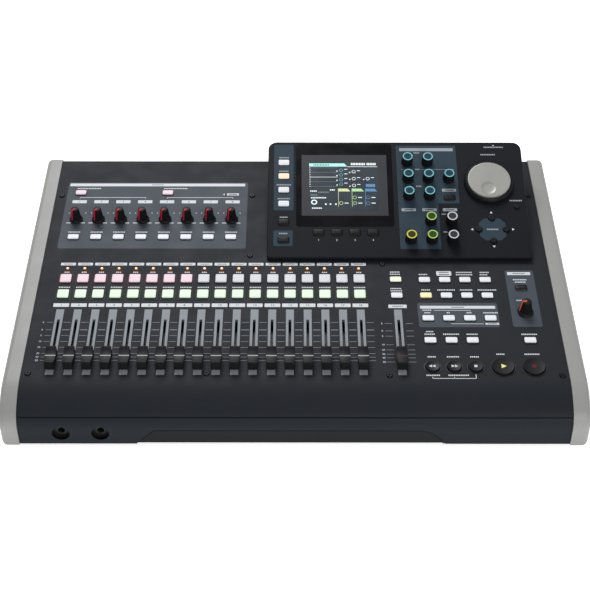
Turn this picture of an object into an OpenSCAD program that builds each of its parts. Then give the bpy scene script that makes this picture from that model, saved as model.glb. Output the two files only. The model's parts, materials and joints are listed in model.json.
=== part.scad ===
// Desktop digital multitrack recorder: sloping control panel, raised display pod and two side cheeks.
// Millimetres, +Z up, front towards -Y. The origin lies under the middle of the case, on the table.

/* [Case] */
// Overall width across the cheeks
unit_w = 515.6; // [470:0.1:570]
// Overall depth over the cheeks
unit_d = 346.5; // [320:0.5:385]
// Width of each side cheek
cheek_w = 15.6; // [12:0.1:18]
// Radius of the cheek's outer edge
cheek_edge_r = 5; // [2:0.5:7]
// Radius of the cheek's upper rear corner
cheek_rear_r = 6; // [5.5:0.5:14]
// Wall of a side cheek
cheek_wall = 3; // [2:0.5:5]
// Height of the rubber feet
foot_h = 2.5; // [2:0.1:8]
// Diameter of the rubber feet
foot_d = 18; // [12:1:24]
// Thickness of the steel base plate
base_t = 1.5; // [1:0.1:2.5]
// Height of the base plate's side flanges
base_flange_h = 6; // [4:0.5:8]

/* [Panel] */
// Slope of the control panel in degrees
panel_tilt = 3.8; // [3:0.1:5]
// Height of the cheek's crease above its underside
crease_h = 44.9; // [43:0.1:60]
// Distance of the crease behind the foremost point
crease_back = 27.6; // [26:0.1:34]
// Slope of the bevel in front of the crease in degrees
bevel_tilt = 27; // [22:0.5:34]
// Radius of the turn from the panel into the bevel
crease_r = 50; // [20:1:60]
// Radius of the bull-nose
nose_r = 21.6; // [18:0.1:23]
// Depth of the panel below the top of the cheeks
panel_drop = 1.5; // [0.5:0.1:3]
// Thickness of the panel and the fascia
panel_t = 2.5; // [2:0.1:3.5]
// Height of the seam between the cover and the fascia above the underside
seam_h = 29; // [26:0.5:34]
// Setback of the panel's rear edge from the cheeks' rear
rear_inset = 4.7; // [3:0.1:8]
// Setback of the rear panel's outer face from the cheeks' rear
rear_recess = 10.5; // [10:0.5:16]
// Thickness of the rear panel
rear_t = 1.5; // [1:0.1:2.5]

/* [Channel strips] */
// Number of channels
channels = 18; // [2:1:18]
// Distance of the first channel from the left side
channel_inset = 40.6; // [36:0.1:46]
// Distance of the last channel from the master fader
master_gap = 34.45; // [20:0.05:40]
// Row of the channel lamps
lamp_row = 151.2; // [148:0.1:154]
// Diameter of a channel lamp
lamp_d = 2.6; // [2:0.1:3.5]
// Row of the record keys
record_row = 136.7; // [134:0.1:140]
// Row of the select keys
select_row = 115.8; // [113:0.1:119]
// Depth of a record or select key
square_key_l = 10.9; // [8:0.1:12]

// Depth of the panel in front of the pod that all rows are given for
row_depth = 161.4; // [150:0.1:180]

/* [Faders] */
// Travel of a fader
fader_travel = 45; // [30:1:50]
// Row of the faders at the bottom of their travel
fader_row = 30.5; // [28:0.5:33]
// Width of a fader cap at its middle
fader_cap_w = 10.3; // [8:0.1:12]
// Width of a fader cap at its ends
fader_end_w = 8.6; // [7:0.1:10]
// Length of a fader cap along its travel
fader_cap_l = 21.5; // [16:0.5:26]
// Height of a fader cap's ends above the panel
fader_cap_h = 10; // [8:0.5:14]
// Depth of the finger dish in a fader cap
fader_dish = 2; // [1:0.25:3]
// Width of a fader slot
fader_slot_w = 2.6; // [2.2:0.1:3.5]
// Thickness of a fader lever
lever_t = 1.4; // [1:0.1:1.6]
// Length of a fader lever along its travel
lever_l = 4; // [3:0.5:6]
// Distance of the master fader from the right side
master_inset = 162.6; // [158:0.1:168]

/* [Trim knobs] */
// Number of trim knobs
trims = 8; // [2:1:8]
// Distance of the last trim knob from the pod
trim_gap = 36; // [24:0.1:40]
// Distance of the trim knobs from the panel's rear edge
trim_rear = 93; // [87:0.5:100]
// Distance of the assign keys from the panel's rear edge
assign_rear = 119; // [114:0.5:124]
// Distance of the phantom power keys from the panel's rear edge
phantom_rear = 52; // [46:0.5:60]
// Diameter of a trim knob's skirt
trim_d = 13; // [11:0.1:15]
// Diameter of a trim knob's top
trim_top_d = 7.4; // [6:0.1:9]
// Height of a trim knob
trim_h = 15; // [10:0.5:18]
// Distance of the phones knob from the right side
phones_inset = 44.9; // [40:0.1:50]
// Row of the phones knob
phones_row = 92.6; // [86:0.1:100]
// Diameter of the phones knob's skirt
phones_d = 14.8; // [12:0.1:17]

/* [Keys] */
// Width of a key
key_w = 10.7; // [8:0.1:12]
// Depth of a small key
key_l = 6.6; // [5:0.1:8]
// Corner radius of a key
key_r = 1.2; // [0.4:0.1:2]
// Height of a panel key above the panel
key_proud = 2; // [1.4:0.1:4]
// Travel of a key
key_travel = 1; // [0.5:0.1:1.5]
// Distance of the first function key column from the right side
function_inset = 135.3; // [132:0.1:140]
// Spacing of the function key columns
function_pitch = 19.13; // [16:0.01:19.5]
// Diameter of the small transport keys
transport_d = 13; // [9:0.5:15]
// Diameter of the play and record keys
play_d = 20; // [14:0.5:21]
// Panel position of the transport keys
transport_v = 24; // [20:0.5:28]

/* [Display pod] */
// Distance of the pod from the right side
pod_inset = 29.8; // [24:0.1:36]
// Width of the pod
pod_w = 255; // [230:0.5:275]
// Length of the pod's face
pod_l = 140; // [138:0.5:146]
// Slope of the pod's face in degrees
pod_tilt = 18; // [14:0.5:22]
// Height of the pod's front lip above the panel
pod_lip = 4.8; // [4:0.1:8]
// Thickness of the pod's walls
pod_wall = 2.8; // [2.4:0.1:4]
// Radius of the pod's rear corners
pod_rear_r = 9; // [4:0.5:14]
// Radius of the pod's front corners
pod_front_r = 3; // [2:0.5:6]
// Radius of the pod's upper edge
pod_edge_r = 1.2; // [0.5:0.1:1.8]
// Setback of the pod from the panel's rear edge
pod_rear_margin = 7.5; // [1:0.1:10]
// Left edge of the screen window on the pod
window_x = 28; // [27:0.5:30]
// Width of the screen window
window_w = 96; // [92:0.5:98]
// Front edge of the screen window on the pod
window_v = 36; // [35:0.5:40]
// Length of the screen window
window_l = 101; // [95:0.5:101]
// Thickness of the screen window
window_t = 1.4; // [1:0.1:1.8]
// Width of the LCD module
lcd_w = 85; // [80:0.5:88]
// Length of the LCD module
lcd_l = 74; // [70:0.5:78]
// Thickness of the LCD module
lcd_t = 6; // [4:0.5:7]
// Height of a pod key above the pod
pod_key_proud = 1.3; // [1.1:0.1:3]

/* [Encoders and jog wheel] */
// Diameter of an encoder knob at its foot
encoder_d = 11.4; // [9:0.1:13]
// Height of an encoder knob
encoder_h = 11; // [7:0.5:14]
// Outer diameter of the ring groove on an encoder's top
encoder_ring_d = 10.2; // [8:0.1:10.4]
// Width of the ring groove on an encoder's top
encoder_ring_w = 1.3; // [0.8:0.1:1.8]
// Diameter of the jog wheel's rim
jog_d = 49; // [44:0.5:50]
// Diameter of the jog wheel's plate
jog_plate_d = 42.3; // [36:0.1:43]
// Height of the jog wheel above the pod
jog_h = 6.5; // [5:0.5:9]
// Diameter of the jog wheel's finger dimple
jog_dimple_d = 13.4; // [9:0.1:15]
// Depth of the jog wheel's finger dimple
jog_dimple = 1.4; // [0.8:0.1:2]

/* [Sockets] */
// Bore radius of a 6.35 mm jack
jack_bore_r = 3.25; // [3.2:0.01:3.4]
// Depth of a jack's bore
jack_bore_l = 24; // [18:1:28]
// Height of the front jacks above the underside
front_jack_h = 12.6; // [11:0.1:14]
// Radius of the well that a front jack lies in
front_well_r = 7.8; // [7:0.1:8.2]
// Depth of the well that a front jack lies in
front_well = 5.2; // [4:0.1:8]
// Height of the rear sockets above the underside
rear_socket_h = 33; // [30:0.5:36]
// Spacing of the combined microphone and line inputs
combo_pitch = 26.6; // [26:0.1:27.5]
// Travel of the standby button
standby_travel = 2; // [1:0.5:3]

/* [Fits] */
// Gap between the cheeks and what lies between them
side_gap = 0.15; // [0.1:0.05:0.4]
// Width of the seam between the cover and the fascia
seam_gap = 0.8; // [0.4:0.1:1.5]
// Clearance of a key in its opening
key_gap = 0.35; // [0.3:0.05:0.6]
// Clearance of a turning shaft in its hole
shaft_gap = 0.4; // [0.3:0.05:0.6]
// Clearance of a seated piece in its pocket
seat_gap = 0.2; // [0.1:0.05:0.4]
// Height of knobs and fader caps above the face below them
hover = 0.6; // [0.4:0.1:1]

/* [Hidden] */
$fn = 64;

function numbered(stem, count) = [for (i = [1:count]) str(stem, i)];

case_color = [0.22, 0.22, 0.24];
fascia_color = [0.16, 0.17, 0.19];
cheek_color = [0.60, 0.60, 0.58];
steel_color = [0.30, 0.31, 0.33];
pod_color = [0.15, 0.16, 0.17];
glass_color = [0.10, 0.10, 0.12];
board_color = [0.10, 0.32, 0.20];
rubber_color = [0.08, 0.08, 0.08];
key_color = [0.86, 0.87, 0.88];
record_key_color = [0.92, 0.72, 0.72];
select_key_color = [0.84, 0.90, 0.82];
knob_color = [0.09, 0.09, 0.10];
jog_color = [0.72, 0.73, 0.74];

// Case lines: the side profile runs up the nose, along the bevel to the crease and back up the panel
side_x = unit_w / 2;
front_y = -unit_d / 2;
rear_y = unit_d / 2;
floor_z = foot_h;
base_top = floor_z + base_t;
crease_y = front_y + crease_back;
crease_z = floor_z + crease_h;
nose_y = front_y + nose_r;
nose_z = crease_z - (crease_back - nose_r) * tan(bevel_tilt) - nose_r / cos(bevel_tilt);
seam_z = floor_z + seam_h;
cover_w = unit_w - 2 * cheek_w - 2 * side_gap;
lip_l = 12;
lip_t = 2;
reach = 100;

panel_normal = [sin(panel_tilt), -cos(panel_tilt)];
bevel_normal = [sin(bevel_tilt), -cos(bevel_tilt)];
function crease(d) =
    [crease_y, crease_z] + d * (panel_normal + bevel_normal) / (1 + panel_normal * bevel_normal);
function nose_top(d) = [nose_y, nose_z] - (nose_r - d) * bevel_normal;
function top_at(y, d) = crease_z + (y - crease_y) * tan(panel_tilt) - d / cos(panel_tilt);
function on_bevel(d) = crease(crease_r) - (crease_r - d) * bevel_normal;
function on_top(d) = crease(crease_r) - (crease_r - d) * panel_normal;
panel_origin = crease(panel_drop);
crease_l = (crease_r - panel_drop) * tan((bevel_tilt - panel_tilt) / 2);
rear_centre = [rear_y - cheek_rear_r, top_at(rear_y - cheek_rear_r, 0) - cheek_rear_r / cos(panel_tilt)];
panel_l = (rear_y - rear_inset - panel_origin[0]) / cos(panel_tilt);
rear_face_y = rear_y - rear_recess;
rear_top_z = top_at(rear_face_y - rear_t, panel_drop + panel_t) - seat_gap;

// Pod lines, in the panel's own frame
pod_x = side_x - pod_inset - pod_w;
pod_rise = pod_tilt - panel_tilt;
pod_foot_l = pod_l / cos(pod_rise) + pod_lip * tan(pod_rise);
pod_v = panel_l - pod_rear_margin - pod_foot_l;
pod_depth = (pod_lip + pod_l * sin(pod_rise)) / cos(pod_rise) + 2;
pod_opening_side = 5;
pod_opening_front = 9;

// Key stack below a face: flange, stem, switch and board
flange_lip = 0.8;
flange_t = 1;
stem_d = 3.2;
stem_l = 1.2;
press_room = 0.3;
board_t = 1.6;
board_depth = 11;
switch_w = 6;
shaft_d = 6;
pot_w = 9.6;
pot_h = 6;
boss_r = 3.2;
screw_r = 1.25;
screw_hole_r = 1.6;
screw_head_r = 2.8;
screw_head_h = 1.3;
screw_l = 8;

// Fader track below the panel
fader_ridge = 1.2;
track_w = 9;
track_margin = 9;
track_top = 4.2;
lever_tip = 6.6;
track_floor = 8;
slot_l = fader_travel + lever_l + 6;
dish_chord = fader_cap_l - 3;
dish_r = (dish_chord * dish_chord / 4 + fader_dish * fader_dish) / (2 * fader_dish);

// Places on the panel
function row_v(row) = row * pod_v / row_depth;
lamp_v = row_v(lamp_row);
record_v = row_v(record_row);
select_v = row_v(select_row);
fader_v = row_v(fader_row);
slot_v = fader_v + fader_travel / 2;
phones_v = row_v(phones_row);
trim_v = panel_l - trim_rear;
assign_v = panel_l - assign_rear;
phantom_v = panel_l - phantom_rear;
first_channel_x = channel_inset - side_x;
master_x = side_x - master_inset;
phones_x = side_x - phones_inset;
function_x = side_x - function_inset;
channel_pitch = (master_x - master_gap - first_channel_x) / (channels - 1);
trim_pitch = (pod_x - trim_gap - first_channel_x) / (trims - 1);
function channel_x(i) = first_channel_x + (i - 1) * channel_pitch;
function trim_x(i) = first_channel_x + (i - 1) * trim_pitch;
function function_col(i) = function_x + i * function_pitch;
function_rows = [for (row = [135.3, 114.2, 84.4]) row_v(row)];
last_row_v = row_v(56.4);
monitor_v = row_v(124.8);
channel_row = [for (i = [1:channels]) channel_x(i)];
function_spots = concat(
    [for (i = [1, 1 + trims / 2]) [trim_x(i), phantom_v]],
    [for (i = [1:trims]) [trim_x(i), assign_v]],
    [for (v = [record_v - 1, select_v - 1.6]) [master_x, v]],
    [for (v = function_rows, i = [0:3]) [function_col(i), v]],
    [for (i = [0:2]) [function_col(i), last_row_v]],
    [[phones_x, last_row_v], [phones_x, monitor_v]]);
small_transport = [for (i = [0:2]) [function_col(i) - 0.3, transport_v]];
big_transport = [for (inset = [73.1, 45.5]) [side_x - inset, transport_v]];
pots = concat([for (i = [1:trims]) [trim_x(i), trim_v]], [[phones_x, phones_v]]);
screw_inset = 21.8;
rear_screw_v = panel_l - 56;
front_screw_v = 16;
pod_screw_x = pod_x - 16.4;
screw_spots = [
    [screw_inset - side_x, rear_screw_v], [pod_screw_x, rear_screw_v], [side_x - screw_inset, rear_screw_v],
    [pod_screw_x, pod_v + 7.9], [master_x - 11.7, pod_v - 3.9],
    [screw_inset - side_x, front_screw_v], [side_x - screw_inset, front_screw_v - 2],
    [(channel_x(1) + channel_x(channels)) / 2, front_screw_v], [master_x - 11.7, front_screw_v - 2]];

// Places on the pod, from its front left corner
side_key_x = 15.8;
jog_spot = [pod_w - 36, 88.3];
encoder_left = window_x + window_w;
encoder_pitch = (jog_spot[0] - jog_d / 2 - encoder_left) / 3.5;
encoder_x = [for (i = [0:2]) encoder_left + (i + 0.75) * encoder_pitch];
encoder_rows = [113.5, 92.9, 71.9, 41.5, 20.1];
encoder_spots = [
    for (r = [0:4], c = [0:2])
        if (!(r == 0 && c == 2) && !(r == 2 && c == 2) && !(r == 3 && c == 0))
            [encoder_x[c], encoder_rows[r]]];
cursor_spot = [jog_spot[0] - 0.1, 33];
cursor_reach = 13.2;
pod_key_spots = concat(
    [for (v = [113.5, 96.6, 79.9, 63.2]) [side_key_x, v]],
    [[side_key_x, 41], [side_key_x, 20.2]],
    [for (i = [0:3]) [49.8 + 17.6 * i, 29.3]],
    [[encoder_x[2], 70.6]]);
cursor_key_spots = [for (a = [0:90:270]) cursor_spot + cursor_reach * [cos(a), sin(a)]];
cursor_key_d = 6.4;
jog_key_spot = [pod_w - 10.6, 59.6];
jog_key_d = 5;
lcd_x = window_x + (window_w - lcd_w) / 2;
lcd_v = window_v + 13;
boss_inset = 9;
pod_boss_spots = concat(
    [for (x = [boss_inset, encoder_left + 6, pod_w - boss_inset]) [x, pod_l - boss_inset]],
    [[boss_inset, 52], [pod_w - boss_inset, 12]]);

// Rear sockets, from left to right as seen from the front, sharing the width of the case
rear_end = 12.05;
socket_row_w = 460;
rear_share = (cover_w - 2 * rear_end) / socket_row_w;
combo_step = combo_pitch * rear_share;
line_step = 19 * rear_share;
combo_x = [for (i = [0:7]) -216 * rear_share + combo_step * i];
line_jack_x = [for (i = [0:4]) combo_x[7] + (combo_step + line_step) / 2 + line_step * i];
phono_x = [for (i = [0:2]) (94 + 14.5 * i) * rear_share];
din_x = [146 * rear_share, 169 * rear_share];
data_x = 188 * rear_share;
standby_x = 205 * rear_share;
inlet_x = 224 * rear_share;
card_x = 157 * rear_share;
socket_z = floor_z + rear_socket_h;
low_socket_z = socket_z - 21;
front_jack_x = [for (inset = [53, 87.5]) inset - side_x];
front_jack_z = floor_z + front_jack_h;
card_w = 26;
card_h = 3.4;

// Frames and shared shapes
module on_panel() {
    translate([0, panel_origin[0], panel_origin[1]]) rotate([panel_tilt, 0, 0]) children();
}

module on_pod() {
    on_panel() translate([pod_x, pod_v, pod_lip]) rotate([pod_rise, 0, 0]) children();
}

module across(width) {
    rotate([90, 0, 90]) translate([0, 0, -width / 2]) linear_extrude(width) children();
}

module out_back(y) {
    translate([0, y, 0]) rotate([-90, 0, 0]) children();
}

module out_front(y) {
    translate([0, y, 0]) rotate([90, 0, 0]) children();
}

module at(spots) {
    for (p = spots)
        translate([p[0], p[1]]) children();
}

module in_row(xs, v) {
    for (x = xs)
        translate([x, v]) children();
}

module round_rect(w, l, r) {
    square([w - 2 * r, l], center = true);
    square([w, l - 2 * r], center = true);
    for (x = [-1, 1], y = [-1, 1])
        translate([x * (w / 2 - r), y * (l / 2 - r)]) circle(r);
}

// A slot with round ends
module slot(w, l) {
    square([w, l - w], center = true);
    for (y = [-1, 1])
        translate([0, y * (l - w) / 2]) circle(d = w);
}

// Half profile of a disc with a rounded upper edge
module disc_profile(r, h, edge) {
    square([r, h - edge]);
    square([r - edge, h]);
    translate([r - edge, h - edge]) circle(edge);
}

// Filled side profile of the case, set in by d from the cheeks' own line
module side_profile(d) {
    rear_r = cheek_rear_r - d;
    chord = on_top(d) - on_bevel(d);
    over = [-chord[1], chord[0]];
    polygon([[front_y + d, floor_z], [front_y + d, nose_z], [nose_y, nose_z], nose_top(d),
        on_bevel(d), on_top(d), rear_centre - rear_r * panel_normal, rear_centre, rear_centre + [rear_r, 0],
        [rear_y - d, floor_z]]);
    intersection() {
        translate([nose_y, nose_z]) circle(nose_r - d);
        translate([front_y, nose_z]) square(2 * nose_r);
    }
    intersection() {
        translate(crease(crease_r)) circle(crease_r - d);
        polygon([on_bevel(d), on_top(d), on_top(d) + over, on_bevel(d) + over]);
    }
    translate(rear_centre) circle(rear_r);
}

module front_shell() {
    difference() {
        side_profile(panel_drop);
        side_profile(panel_drop + panel_t);
    }
}

// A key with its retaining flange and plunger, in a face of thickness t
module key_stack(t) {
    translate([0, 0, -t - seat_gap]) children(0);
    translate([0, 0, -t - seat_gap - flange_t]) children(1);
    translate([0, 0, -t - seat_gap - flange_t - stem_l]) cylinder(d = stem_d, h = stem_l + flange_t);
}

module key(l, proud, t) {
    key_stack(t) {
        linear_extrude(t + seat_gap + proud) round_rect(key_w, l, key_r);
        linear_extrude(flange_t) round_rect(key_w + 2 * flange_lip, l + 2 * flange_lip, key_r);
    }
}

module round_key(d, proud, t, edge) {
    key_stack(t) {
        rotate_extrude() disc_profile(d / 2, t + seat_gap + proud, edge);
        cylinder(d = d + 2 * flange_lip, h = flange_t);
    }
}

module key_hole(l) {
    round_rect(key_w + 2 * key_gap, l + 2 * key_gap, key_r + key_gap);
}

switch_h = board_depth - panel_t - seat_gap - flange_t - stem_l - key_travel - press_room;
module switch_block(t) {
    h = switch_h + panel_t - t;
    linear_extrude(h) square(switch_w, center = true);
}

module pot_block() {
    linear_extrude(pot_h) difference() {
        square(pot_w, center = true);
        circle(d = shaft_d + 2 * shaft_gap);
    }
}

module boss(h) {
    linear_extrude(h) difference() {
        circle(boss_r);
        circle(screw_hole_r);
    }
}

// Case pieces
module panel_openings() {
    in_row(channel_row, lamp_v) circle(d = lamp_d + 2 * key_gap);
    in_row(channel_row, record_v) key_hole(square_key_l);
    in_row(channel_row, select_v) key_hole(square_key_l);
    in_row(concat(channel_row, [master_x]), slot_v) square([fader_slot_w, slot_l], center = true);
    at(function_spots) key_hole(key_l);
    at(small_transport) circle(d = transport_d + 2 * key_gap);
    at(big_transport) circle(d = play_d + 2 * key_gap);
    at(pots) circle(d = shaft_d + 2 * shaft_gap);
    at(screw_spots) circle(screw_hole_r);
    translate([pod_x + pod_opening_side, pod_v + pod_opening_front])
        square([pod_w - 2 * pod_opening_side, pod_foot_l - pod_opening_front - pod_wall - 2]);
}

cover_lap = 0.5;
module top_cover() {
    color(case_color) {
        on_panel() translate([0, 0, -panel_t]) linear_extrude(panel_t) difference() {
            translate([-cover_w / 2, crease_l]) square([cover_w, panel_l - crease_l]);
            panel_openings();
        }
        across(cover_w) intersection() {
            front_shell();
            translate(panel_origin) rotate(panel_tilt)
                translate([-reach, -reach]) square([reach + crease_l + cover_lap, 2 * reach]);
            translate([front_y, seam_z + seam_gap / 2]) square(reach);
        }
    }
}

// Outline of the long shallow recess in the fascia, seen from the front
recess_left = 117.8 - side_x;
recess_right = side_x - 124.8;
recess_h = 16.4;
recess_slant = 17;
recess_depth = 1.4;
recess_r = 26;
module recess_outline() {
    recess_top = floor_z + recess_h;
    polygon([[recess_left, floor_z - 1], [recess_left, floor_z], [recess_left + recess_slant, recess_top],
        [recess_right - recess_r, recess_top], [recess_right, floor_z], [recess_right, floor_z - 1]]);
    intersection() {
        translate([recess_right - recess_r, recess_top - recess_r]) circle(recess_r);
        translate([recess_right - recess_r, floor_z - 1]) square([recess_r, recess_h + 1]);
    }
}

module front_fascia() {
    shell_y = front_y + panel_drop;
    color(fascia_color) difference() {
        union() {
            across(cover_w) intersection() {
                front_shell();
                translate([front_y, floor_z]) square([reach, seam_z - seam_gap / 2 - floor_z]);
                translate([front_y, floor_z]) square([2 * nose_r, reach]);
            }
            translate([-cover_w / 2, shell_y, floor_z]) cube([cover_w, panel_t + lip_l, lip_t]);
        }
        out_front(shell_y + recess_depth) linear_extrude(recess_depth + 1) recess_outline();
        for (x = front_jack_x)
            out_front(shell_y + panel_t + 1) translate([x, front_jack_z])
                cylinder(r = front_well_r, h = panel_t + 2);
    }
}

vent_w = 2.4;
vent_l = 40;
vent_pitch = 7;
vents = 12;
base_front_y = front_y + panel_drop + panel_t + lip_l + seat_gap;
module base_plate() {
    plate_l = rear_face_y - base_front_y;
    flange_x = cover_w / 2 - base_t;
    color(steel_color) {
        translate([0, 0, floor_z]) linear_extrude(base_t) difference() {
            translate([-cover_w / 2, base_front_y]) square([cover_w, plate_l]);
            for (side = [-1, 1], i = [0:vents - 1])
                translate([side * 120 + (i - (vents - 1) / 2) * vent_pitch, 60])
                    slot(vent_w, vent_l);
        }
        for (x = [-cover_w / 2, flange_x])
            translate([x, base_front_y, floor_z]) cube([base_t, plate_l - rear_t - seat_gap, base_flange_h]);
    }
}

combo_body_r = 11.4;
plate_gap = 0.4;
plate_h = 29;
plate_t = 1.2;
plate_r = 2;
window_room = 0.8;
line_body_w = 13;
socket_window_x = combo_x[0] - combo_body_r - window_room;
socket_window_w = line_jack_x[4] + line_body_w / 2 + window_room - socket_window_x;
phono_r = 4.15;
din_r = 8;
data_w = 9;
data_h = 4.2;
inlet_r = 5;
standby_r = 4.4;
module rear_panel() {
    color(steel_color) out_back(rear_face_y - rear_t) mirror([0, 1, 0]) linear_extrude(rear_t) difference() {
        translate([-cover_w / 2, base_top]) square([cover_w, rear_top_z - base_top]);
        translate([socket_window_x, socket_z - combo_body_r - window_room])
            square([socket_window_w, 2 * (combo_body_r + window_room)]);
        in_row(phono_x, socket_z) circle(phono_r + seat_gap);
        in_row(din_x, socket_z) circle(din_r + seat_gap);
        translate([data_x, socket_z]) square([data_w, data_h] + 2 * [seat_gap, seat_gap], center = true);
        translate([inlet_x, socket_z]) circle(inlet_r + seat_gap);
        translate([standby_x, socket_z]) circle(standby_r + key_gap);
        translate([card_x, low_socket_z]) square([card_w, card_h] + 2 * [seat_gap, seat_gap], center = true);
    }
}

// A cheek is lofted through copies of its side line, which draws in round the outer edge
edge_steps = 6;
nose_steps = 18;
crease_steps = 6;
rear_steps = 10;
function arc(c, r, from, to, steps) =
    [for (i = [0:steps]) let (a = from + (to - from) * i / steps) c + r * [cos(a), sin(a)]];
function cheek_line(d) = concat(
    [[front_y + d, floor_z + d]],
    arc([nose_y, nose_z], nose_r - d, 180, 90 + bevel_tilt, nose_steps),
    arc(crease(crease_r), crease_r - d, 90 + bevel_tilt, 90 + panel_tilt, crease_steps),
    arc(rear_centre, cheek_rear_r - d, 90 + panel_tilt, 0, rear_steps),
    [[rear_y - d, floor_z + d]]);
function cheek_ring(x, d) = [for (p = cheek_line(d)) [x, p[0], p[1]]];
cheek_inner_x = side_x - cheek_w;
module cheek() {
    turns = [for (k = [0:edge_steps]) 90 * k / edge_steps];
    points = concat(
        cheek_ring(cheek_inner_x, 0),
        [for (a = turns)
            each cheek_ring(side_x - cheek_edge_r * (1 - sin(a)), cheek_edge_r * (1 - cos(a)))]);
    n = len(cheek_line(0));
    last = edge_steps + 1;
    sides = [for (r = [0:last - 1], i = [0:n - 1]) let (a = r * n + i, b = r * n + (i + 1) % n)
        each [[a, b, b + n], [a, b + n, a + n]]];
    inner_cap = [for (i = [n - 1:-1:0]) i];
    outer_cap = [for (i = [0:n - 1]) last * n + i];
    difference() {
        polyhedron(points, concat(sides, [inner_cap, outer_cap]));
        translate([cheek_inner_x + (cheek_w - cheek_wall) / 2 - 1, 0, 0]) across(cheek_w - cheek_wall + 2)
            intersection() {
                polygon(cheek_line(cheek_edge_r + 1));
                translate([front_y, floor_z + cheek_wall]) square([unit_d, reach]);
            }
    }
}

module left_cheek() {
    color(cheek_color) mirror([1, 0, 0]) cheek();
}

module right_cheek() {
    color(cheek_color) cheek();
}

foot_inset = 32;
module feet() {
    edge = 0.8;
    color(rubber_color)
        for (x = [-1, 1], y = [front_y + foot_inset, rear_y - foot_inset])
            translate([x * (cover_w / 2 - foot_inset), y, foot_h]) mirror([0, 0, 1])
                rotate_extrude() disc_profile(foot_d / 2, foot_h, edge);
}

module screws() {
    color(steel_color) on_panel() at(screw_spots) {
        rotate_extrude() disc_profile(screw_head_r, screw_head_h, 0.6);
        translate([0, 0, -screw_l]) cylinder(r = screw_r, h = screw_l + screw_head_h / 2);
    }
}

// Display pod: its shell is lofted through copies of its plan, which draws in round the upper edge
corner_steps = 6;
pod_edge_steps = 4;
function pod_line(d) = concat(
    arc([pod_front_r, pod_front_r], max(pod_front_r - d, 0.2), 180, 270, corner_steps),
    arc([pod_w - pod_front_r, pod_front_r], max(pod_front_r - d, 0.2), 270, 360, corner_steps),
    arc([pod_w - pod_rear_r, pod_l - pod_rear_r], pod_rear_r - d, 0, 90, corner_steps),
    arc([pod_rear_r, pod_l - pod_rear_r], pod_rear_r - d, 90, 180, corner_steps));
function pod_ring(d, w) = [for (p = pod_line(d)) [p[0], p[1], w]];
module pod_block() {
    turns = [for (k = [0:pod_edge_steps]) 90 * k / pod_edge_steps];
    points = concat(
        pod_ring(0, -pod_depth),
        [for (a = turns) each pod_ring(pod_edge_r * (1 - cos(a)), -pod_edge_r * (1 - sin(a)))]);
    n = len(pod_line(0));
    last = pod_edge_steps + 1;
    sides = [for (r = [0:last - 1], i = [0:n - 1]) let (a = r * n + i, b = r * n + (i + 1) % n)
        each [[a, b + n, b], [a, a + n, b + n]]];
    foot_cap = [for (i = [0:n - 1]) i];
    top_cap = [for (i = [n - 1:-1:0]) last * n + i];
    polyhedron(points, concat(sides, [foot_cap, top_cap]));
}

module pod_openings() {
    at(pod_key_spots) key_hole(key_l);
    at(cursor_key_spots) circle(d = cursor_key_d + 2 * key_gap);
    translate(jog_key_spot) circle(d = jog_key_d + 2 * key_gap);
    at(concat(encoder_spots, [jog_spot])) circle(d = shaft_d + 2 * shaft_gap);
    translate([lcd_x + seat_gap, lcd_v + seat_gap]) square([lcd_w - 2 * seat_gap, lcd_l - 2 * seat_gap]);
}

module window_outline(d) {
    translate([window_x + window_w / 2, window_v + window_l / 2])
        round_rect(window_w - 2 * d, window_l - 2 * d, 3 - d);
}

module pod_housing() {
    color(pod_color) difference() {
        on_pod() pod_block();
        on_pod() translate([0, 0, -pod_depth - 1]) linear_extrude(pod_depth + 1 - pod_wall)
            polygon(pod_line(pod_wall));
        on_pod() translate([0, 0, -pod_wall - 1]) linear_extrude(pod_wall + 2) pod_openings();
        on_pod() translate([0, 0, -window_t]) linear_extrude(window_t + 1) window_outline(0);
        on_panel() translate([pod_x - 1, pod_v - pod_depth, -pod_depth])
            cube([pod_w + 2, pod_foot_l + 2 * pod_depth, pod_depth]);
    }
}

module screen_window() {
    color(glass_color) on_pod() translate([0, 0, -window_t])
        linear_extrude(window_t) window_outline(seat_gap);
}

module lcd_module() {
    lcd_top = window_t + seat_gap;
    rim = pod_wall - lcd_top;
    color(steel_color) on_pod() translate([lcd_x, lcd_v, 0]) {
        translate([0, 0, -lcd_top - lcd_t]) cube([lcd_w, lcd_l, lcd_t - rim - seat_gap]);
        translate([2 * seat_gap, 2 * seat_gap, -pod_wall - seat_gap])
            linear_extrude(rim + seat_gap) square([lcd_w - 4 * seat_gap, lcd_l - 4 * seat_gap]);
    }
}

// Boards with the parts that are soldered to them
board_front_v = 8;
board_rear_v = panel_l - 29.5;
board_edge = 1;
tray_gap = 2;
module panel_board() {
    blank_w = cover_w - 2 * board_edge;
    translate([0, 0, -board_depth - board_t]) linear_extrude(board_t) difference() {
        translate([-blank_w / 2, board_front_v]) square([blank_w, board_rear_v - board_front_v]);
        translate([pod_x - tray_gap, pod_v - tray_gap]) square([pod_w + 2 * tray_gap, panel_l]);
        at(screw_spots) circle(screw_hole_r);
    }
    translate([0, 0, -board_depth]) {
        in_row(channel_row, record_v) switch_block(panel_t);
        in_row(channel_row, select_v) switch_block(panel_t);
        at(concat(function_spots, small_transport, big_transport)) switch_block(panel_t);
        at(pots) pot_block();
        at(screw_spots) boss(board_depth - panel_t);
        in_row(channel_row, lamp_v) rotate_extrude() disc_profile(lamp_d / 2, board_depth + 0.3, 0.6);
        in_row(concat(channel_row, [master_x]), slot_v) fader_track();
    }
}

module fader_track() {
    h = board_depth - track_top;
    difference() {
        translate([-track_w / 2, -slot_l / 2 - track_margin, 0])
            cube([track_w, slot_l + 2 * track_margin, h]);
        translate([-fader_slot_w / 2, -slot_l / 2, board_depth - track_floor])
            cube([fader_slot_w, slot_l, h]);
    }
}

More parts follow.
